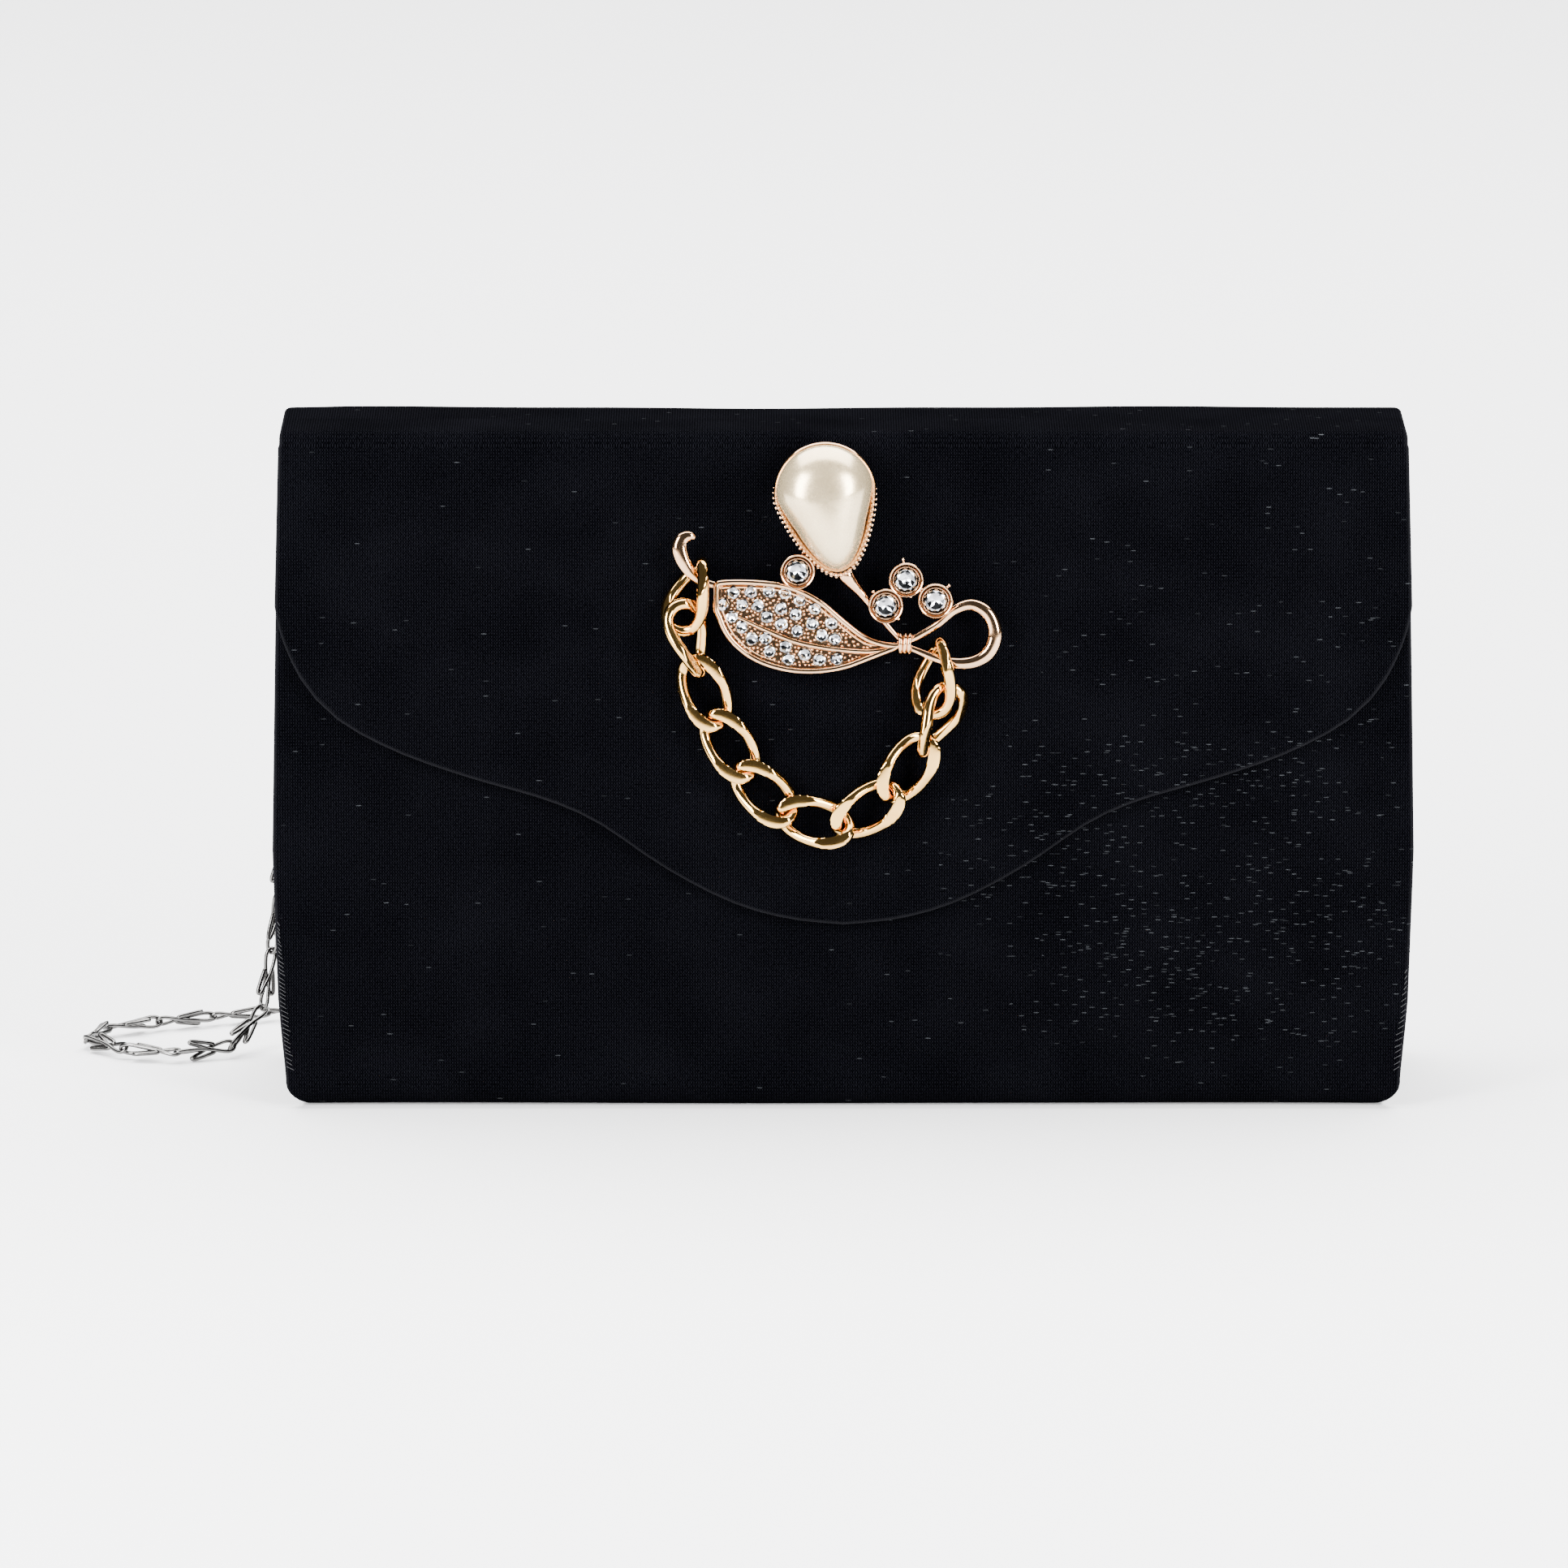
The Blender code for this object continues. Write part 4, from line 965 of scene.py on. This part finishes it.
# size, height and turn of a stone's rings of corners, as shares of its radius and of a side
FACETS = ((0.9, -0.35, 0), (1.0, 0.0, 0), (0.88, 0.17, 0.5), (0.72, 0.27, 0), (0.38, 0.05, 0.5))


def bed_height(u, v, rib):
    """The leaf's bed, leaning back a little from its top edge to its lower edge."""
    return 7.35 + 0.03 * (curve_at(rib, u) - v)


def stone_facets(shape, centre, radius, axes, turn, sides=8):
    """A round brilliant: crown facets about a table that shows the pavilion's star."""
    across, up, out = axes
    verts = []
    for size, height, shift in FACETS:
        verts += circle(centre + out * (radius * height), across, up, radius * size, sides,
                        turn + tau * shift / sides)
    verts.append(centre - out * (radius * 0.12))
    faces = [tuple(reversed(range(sides)))]
    for level, (lower, upper) in enumerate(zip(FACETS, FACETS[1:])):
        a, b = level * sides, (level + 1) * sides
        for k in range(sides):
            m = (k + 1) % sides
            if lower[2] == upper[2]:
                faces.append((a + k, a + m, b + m, b + k))
            elif upper[2] > lower[2]:
                faces += [(a + k, a + m, b + k), (a + m, b + m, b + k)]
            else:
                faces += [(a + k, b + m, b + k), (a + k, a + m, b + m)]
    last = (len(FACETS) - 1) * sides
    faces += [(last + k, last + (k + 1) % sides, len(verts) - 1) for k in range(sides)]
    shape.add(verts, faces)


def tilted(lean_u, lean_v):
    """The front's directions, leaned a little."""
    out = (FRONT_N + FRONT_U * lean_u + FRONT_V * lean_v).normalized()
    up = (FRONT_V - out * FRONT_V.dot(out)).normalized()
    return up.cross(out), up, out


def flatten(share):
    """A squeeze that takes a share off a tube's thickness, as seen from the side."""
    return lambda place, centre: place - FRONT_N * ((place - centre).dot(FRONT_N) * share)


def post(shape, u, v, top):
    """A post that holds the brooch to the flap."""
    shape.turned([(1.5, 3.1), (1.5, 3.25), (0.9, 3.5), (0.8, 4.0), (0.8, top - 0.4), (1.1, top)],
                 front(u, v, 0), 16)


def make_leaf():
    """The leaf's bed with its double rim, midrib, curl and beads, and the pave stones."""
    top = smooth_path(LEAF_TOP, 8)
    low = smooth_path(LEAF_LOW, 8)
    rib = smooth_path(((-24.6, 98.6), *MIDRIB), 8)
    shape = Shape()
    rings = []
    for k in range(71):
        u = -24.6 + 35.2 * k / 70
        a, m, b = (curve_at(line, u) for line in (low, rib, top))
        m = min(max(m, a + 0.1 * (b - a)), b - 0.1 * (b - a))
        row = [a + (m - a) * j / 7 for j in range(7)] + [m + (b - m) * j / 7 for j in range(8)]
        rings.append([front(u, v, bed_height(u, v, rib)) for v in row]
                     + [front(u, v, 6.3) for v in reversed(row)])
    shape.rings(rings)
    path = closed_path((low + top[::-1])[::3], 4)
    for inset, height, radius, sides in ((0.2, 7.85, 0.6, 10), (1.2, 7.6, 0.2, 6)):
        rim = []
        for i, p in enumerate(path):
            run = Vector(path[(i + 1) % len(path)]) - Vector(path[i - 1])
            u = min(max(p[0], -24.5), 10.5)
            room = min(inset, max(curve_at(top, u) - curve_at(low, u), 0.1) * 0.3)
            q = Vector(p) + Vector((-run.y, run.x)).normalized() * room
            rim.append(front(q.x, q.y, height - 0.1 * max(p[0] - 4, 0.0) / 6))
        shape.tube(rim, radius, sides, closed=True)
    ribs = smooth_path(MIDRIB, 8)
    shape.tube([front(u, v, bed_height(u, v, rib) + 0.3) for u, v in ribs],
               [0.3 + 0.22 * min(i / 12, 1.0) for i in range(len(ribs))], 10)
    shape.drawn(CURL, 10, 14, flatten(0.35))
    post(shape, -18.0, 97.0, 6.4)
    post(shape, -2.0, 92.0, 6.4)
    beads = []
    for _ in range(9000):
        u, v = rng.uniform(-24.0, 8.8), rng.uniform(86.0, 103.4)
        size = rng.uniform(0.24, 0.34)
        if min(curve_at(top, u) - v, v - curve_at(low, u)) < 1.1:
            continue
        if abs(v - curve_at(rib, u)) < 0.75:
            continue
        if u < -23.0 or min(hypot(u - a, v - b) for a, b in PAVE) < 1.12 + size:
            continue
        if all(hypot(u - a, v - b) > size + other + 0.06 for a, b, other in beads):
            beads.append((u, v, size))
    for u, v, size in beads:
        shape.ball(front(u, v, bed_height(u, v, rib) + size * 0.5), size, 8)
    leaf = shape.build("brooch_leaf_casting", ROSE, smooth=45)
    settle(leaf, "flap", "rose_gold", "brooch_leaf")
    shape = Shape()
    for u, v in PAVE:
        lean = 0.06 if v > curve_at(rib, u) else 0.02
        axes = tilted(rng.uniform(-0.1, 0.1), lean + rng.uniform(-0.1, 0.1))
        place = front(u, v, bed_height(u, v, rib) + 0.42)
        stone_facets(shape, place, 1.33, axes, rng.uniform(0, 1))
    stones = shape.build("leaf_pave_stones", CRYSTAL, smooth=0)
    settle(stones, "flap", "crystal", "leaf_stones")


def teardrop(less, steps):
    """A round head about PEARL_CENTRE drawn out to PEARL_TIP, as points of (u, v)."""
    axis = PEARL_TIP - PEARL_CENTRE
    length = axis.length - less
    axis.normalize()
    across = Vector((-axis.y, axis.x))
    points = []
    for i in range(steps):
        angle = tau * i / steps
        forward = cos(angle)
        reach = length if forward > 0 else CUP_RADIUS - less
        width = (CUP_RADIUS - less) * sin(angle) * (1 - 0.28 * max(forward, 0.0))
        points.append(PEARL_CENTRE + axis * (reach * forward) + across * width)
    return points


def make_pearl():
    """The cup with its beaded edge, stem and post, and the pearl in it."""
    outline = teardrop(0.0, 96)
    shape = Shape()
    shape.rings([[front(*(PEARL_CENTRE + (p - PEARL_CENTRE) * size), w) for p in outline]
                 for size, w in CUP_LEVELS])
    closed = outline + outline[:1]
    lengths = [0.0]
    for a, b in zip(closed, closed[1:]):
        lengths.append(lengths[-1] + (b - a).length)
    count = int(lengths[-1] / 0.98)
    for k in range(count):
        run = lengths[-1] * k / count
        place = Vector([float(np.interp(run, lengths, [p[i] for p in closed])) for i in (0, 1)])
        size = 0.44 * min(max((123.0 - place.y) / 5.0, 0.0), 1.0)
        if size < 0.1:
            continue
        away = (place - PEARL_CENTRE).normalized()
        shape.ball(front(*(place - away * 0.3), 9.1), size, 8)
        shape.ball(front(*(place + away * 0.12), 8.3), size * 0.7, 6)
    shape.drawn(STEM, 8, 14)
    post(shape, -3.5, 119.0, 6.6)
    cup = shape.build("pearl_cup_casting", ROSE, smooth=45)
    settle(cup, "flap", "rose_gold", "pearl_cup")
    axis = (PEARL_TIP - PEARL_CENTRE).normalized()
    inner = []
    for p in teardrop(0.4, 96):
        arm = p - PEARL_CENTRE
        low_share = min(max(arm.dot(axis) / 9.0 + 0.25, 0.0), 1.0)
        inner.append(PEARL_CENTRE + arm * (1 - 0.95 * low_share / arm.length))
    rings = [[front(*p, 7.6) for p in inner]]
    top = PEARL_CENTRE - Vector((0, 1.2))
    for i in range(27):
        angle = radians(89.0) * i / 26
        size = cos(angle) ** 0.92
        mid = PEARL_CENTRE.lerp(top, 1 - size)
        height = 9.2 + 6.6 * sin(angle) ** 1.05
        rings.append([front(*(mid + (p - PEARL_CENTRE) * size), height) for p in inner])
    shape = Shape()
    shape.rings(rings)
    drop = shape.build("pearl_drop", PEARL, smooth=60)
    settle(drop, "flap", "ivory_pearl", "pearl")


def make_loop():
    """The ribbon loop and the three turns of wire that bind the brooch together."""
    shape = Shape()
    shape.drawn(LOOP, 8, 16, flatten(0.25))
    loop = shape.build("brooch_loop_ribbon", ROSE, smooth=60)
    settle(loop, "flap", "rose_gold", "brooch_loop")
    shape = Shape()
    for k, shift in enumerate((-0.95, 0.0, 0.95)):
        angles = [tau * i / 28 for i in range(28)]
        shape.tube([front(11.7 + shift + 0.18 * sin(a + k), 91.4 + 1.9 * cos(a),
                          6.9 + 1.6 * sin(a)) for a in angles], 0.43, 10, closed=True)
    binding = shape.build("brooch_binding_wire", ROSE, smooth=None)
    settle(binding, "flap", "rose_gold", "brooch_binding")


def make_settings():
    """The four bezels with their stones, and the pips and struts that join them."""
    for name, (u, v) in SETTINGS.items():
        shape = Shape()
        shape.turned(BEZEL, front(u, v, 0), 44)
        setting = shape.build(f"setting_{name}_bezel", ROSE, smooth=50)
        settle(setting, "flap", "rose_gold", f"setting_{name}")
        shape = Shape()
        stone_facets(shape, front(u, v, 9.1), 2.3, tilted(0.03, -0.02), 0.3 * u, sides=10)
        stone = shape.build(f"stone_{name}_cut", CRYSTAL, smooth=0)
        settle(stone, "flap", "crystal", f"stone_{name}")
    shape = Shape()
    for u, v, a, b in PIPS:
        shape.ball(front(u, v, 8.6), 0.36, 10)
        shape.tube([front(u, v, 8.5), front((u + a) / 2, (v + b) / 2, 8.3)], 0.26, 8)
    for radius, *points in STRUTS:
        shape.tube([front(*p) for p in points], radius, 8)
    settle(shape.build("setting_struts", ROSE, smooth=50), "flap", "rose_gold")


# u, v, w, heading, lift and roll of each curb link, in millimetres and degrees
LINKS = ((-29.5, 100.5, 7.7, -111, -1, -44), (-29.5, 92.4, 8.2, -74, -2, 49),
         (-26.6, 81.9, 6.8, -69, 0, 0), (-21.8, 71.6, 6.6, -58, 1, 0),
         (-15.2, 62.4, 6.7, -44, 2, 0), (-5.5, 56.9, 6.7, -15, 5, 2),
         (4.7, 59.1, 6.6, 33, 4, -4), (12.5, 67.2, 6.8, 56, 3, -1),
         (18.2, 76.6, 7.7, 63, -5, -48), (17.6, 84.8, 7.8, 82, -1, 42))
LINK_HALF = (3.8, 6.9, 1.5)     # half width, half length and twist of a link's wire
LINK_WIRE = 1.18
LINK_FACE = 1.72                # height of the ground faces above the link's middle


def make_chain():
    """Curb links: twisted wire loops with the faces at front and back ground flat."""
    for number, (u, v, w, heading, lift, roll) in enumerate(LINKS, 1):
        h, l, r = (radians(x) for x in (heading, lift, roll))
        forward = Vector((cos(h) * cos(l), sin(h) * cos(l), sin(l)))
        side = forward.cross(UP).normalized()
        normal = side.cross(forward)
        across = side * cos(r) + normal * sin(r)
        out = normal * cos(r) - side * sin(r)
        centre = Vector((u, v, w))
        wide, long, twist = LINK_HALF
        angles = [tau * k / 72 for k in range(72)]
        path = [centre + across * (wide * sin(a)) + forward * (long * cos(a))
                + out * (twist * sin(2 * a)) for a in angles]

        def grind(place, _):
            height = (place - centre).dot(out)
            past = max(abs(height) - LINK_FACE, 0.0)
            return place - out * copysign(past * 0.88, height)

        shape = Shape()
        shape.tube(path, LINK_WIRE, 20, closed=True, squeeze=grind)
        shape.verts = [front(*p) for p in shape.verts]
        link = shape.build(f"curb_link_{number:02d}", YELLOW, smooth=28)
        settle(link, "brooch_chain", "yellow_gold", f"chain_link_{number:02d}")


# ---------------------------------------------------------------- stage

def area_light(name, place, target, size, power, size_y):
    data = bpy.data.lights.new(name, "AREA")
    data.shape = "RECTANGLE"
    data.size = size
    data.size_y = size_y
    data.energy = power
    light = add_object(name, data)
    light.location = place
    direction = Vector(target) - Vector(place)
    light.rotation_euler = direction.to_track_quat("-Z", "Y").to_euler()


def make_stage():
    """A pale floor that glows a little near the bag, a dim sky and three soft lights."""
    shape = Shape()
    reach = 3000.0
    shape.add([(-reach, -reach, 0), (reach, -reach, 0), (reach, reach, 0), (-reach, reach, 0)],
              [(0, 1, 2, 3)])
    look = Look("pale_floor")
    away = look.node("VectorMath", {0: look.place()}, operation="LENGTH").outputs["Value"]
    fade = look.maths("MAXIMUM", look.times(away, -1.2, 2.2), 0.0)
    glow = look.times(look.maths("MINIMUM", fade, 1.0), 0.16)
    look.shade({"Base Color": (0.95, 0.95, 0.96, 1), "Roughness": 0.6,
                "Emission Color": (1.0, 1.0, 1.0, 1), "Emission Strength": glow})
    shape.build("floor", look.mat)
    world = bpy.data.worlds.new("studio")
    world.use_nodes = True
    sky = world.node_tree.nodes["Background"].inputs
    sky["Color"].default_value = (0.92, 0.96, 1.0, 1)
    sky["Strength"].default_value = 0.10
    bpy.context.scene.world = world
    area_light("softbox_left", (-0.62, -0.62, 0.42), (0, 0, 0.08), 0.30, 22.0, 0.62)
    area_light("softbox_right", (0.62, -0.66, 0.42), (0, 0, 0.08), 0.30, 22.0, 0.62)
    area_light("overhead", (0.0, 0.75, 1.7), (0, 0.75, 0.0), 2.8, 245.0, 2.3)


make_camera()
make_strap()
make_front_cover()
make_back_cover()
make_flap_cover()
for side in (-1, 1):
    make_gusset(side)
    make_ring_tab(side)
make_linings()
make_facing()
make_stitches()
make_snap()
make_leaf()
make_pearl()
make_loop()
make_settings()
make_chain()
for node in ("post_nut_leaf_left", "post_nut_leaf_right", "post_nut_pearl"):
    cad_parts[node].material_slots[0].material = ROSE
make_stage()
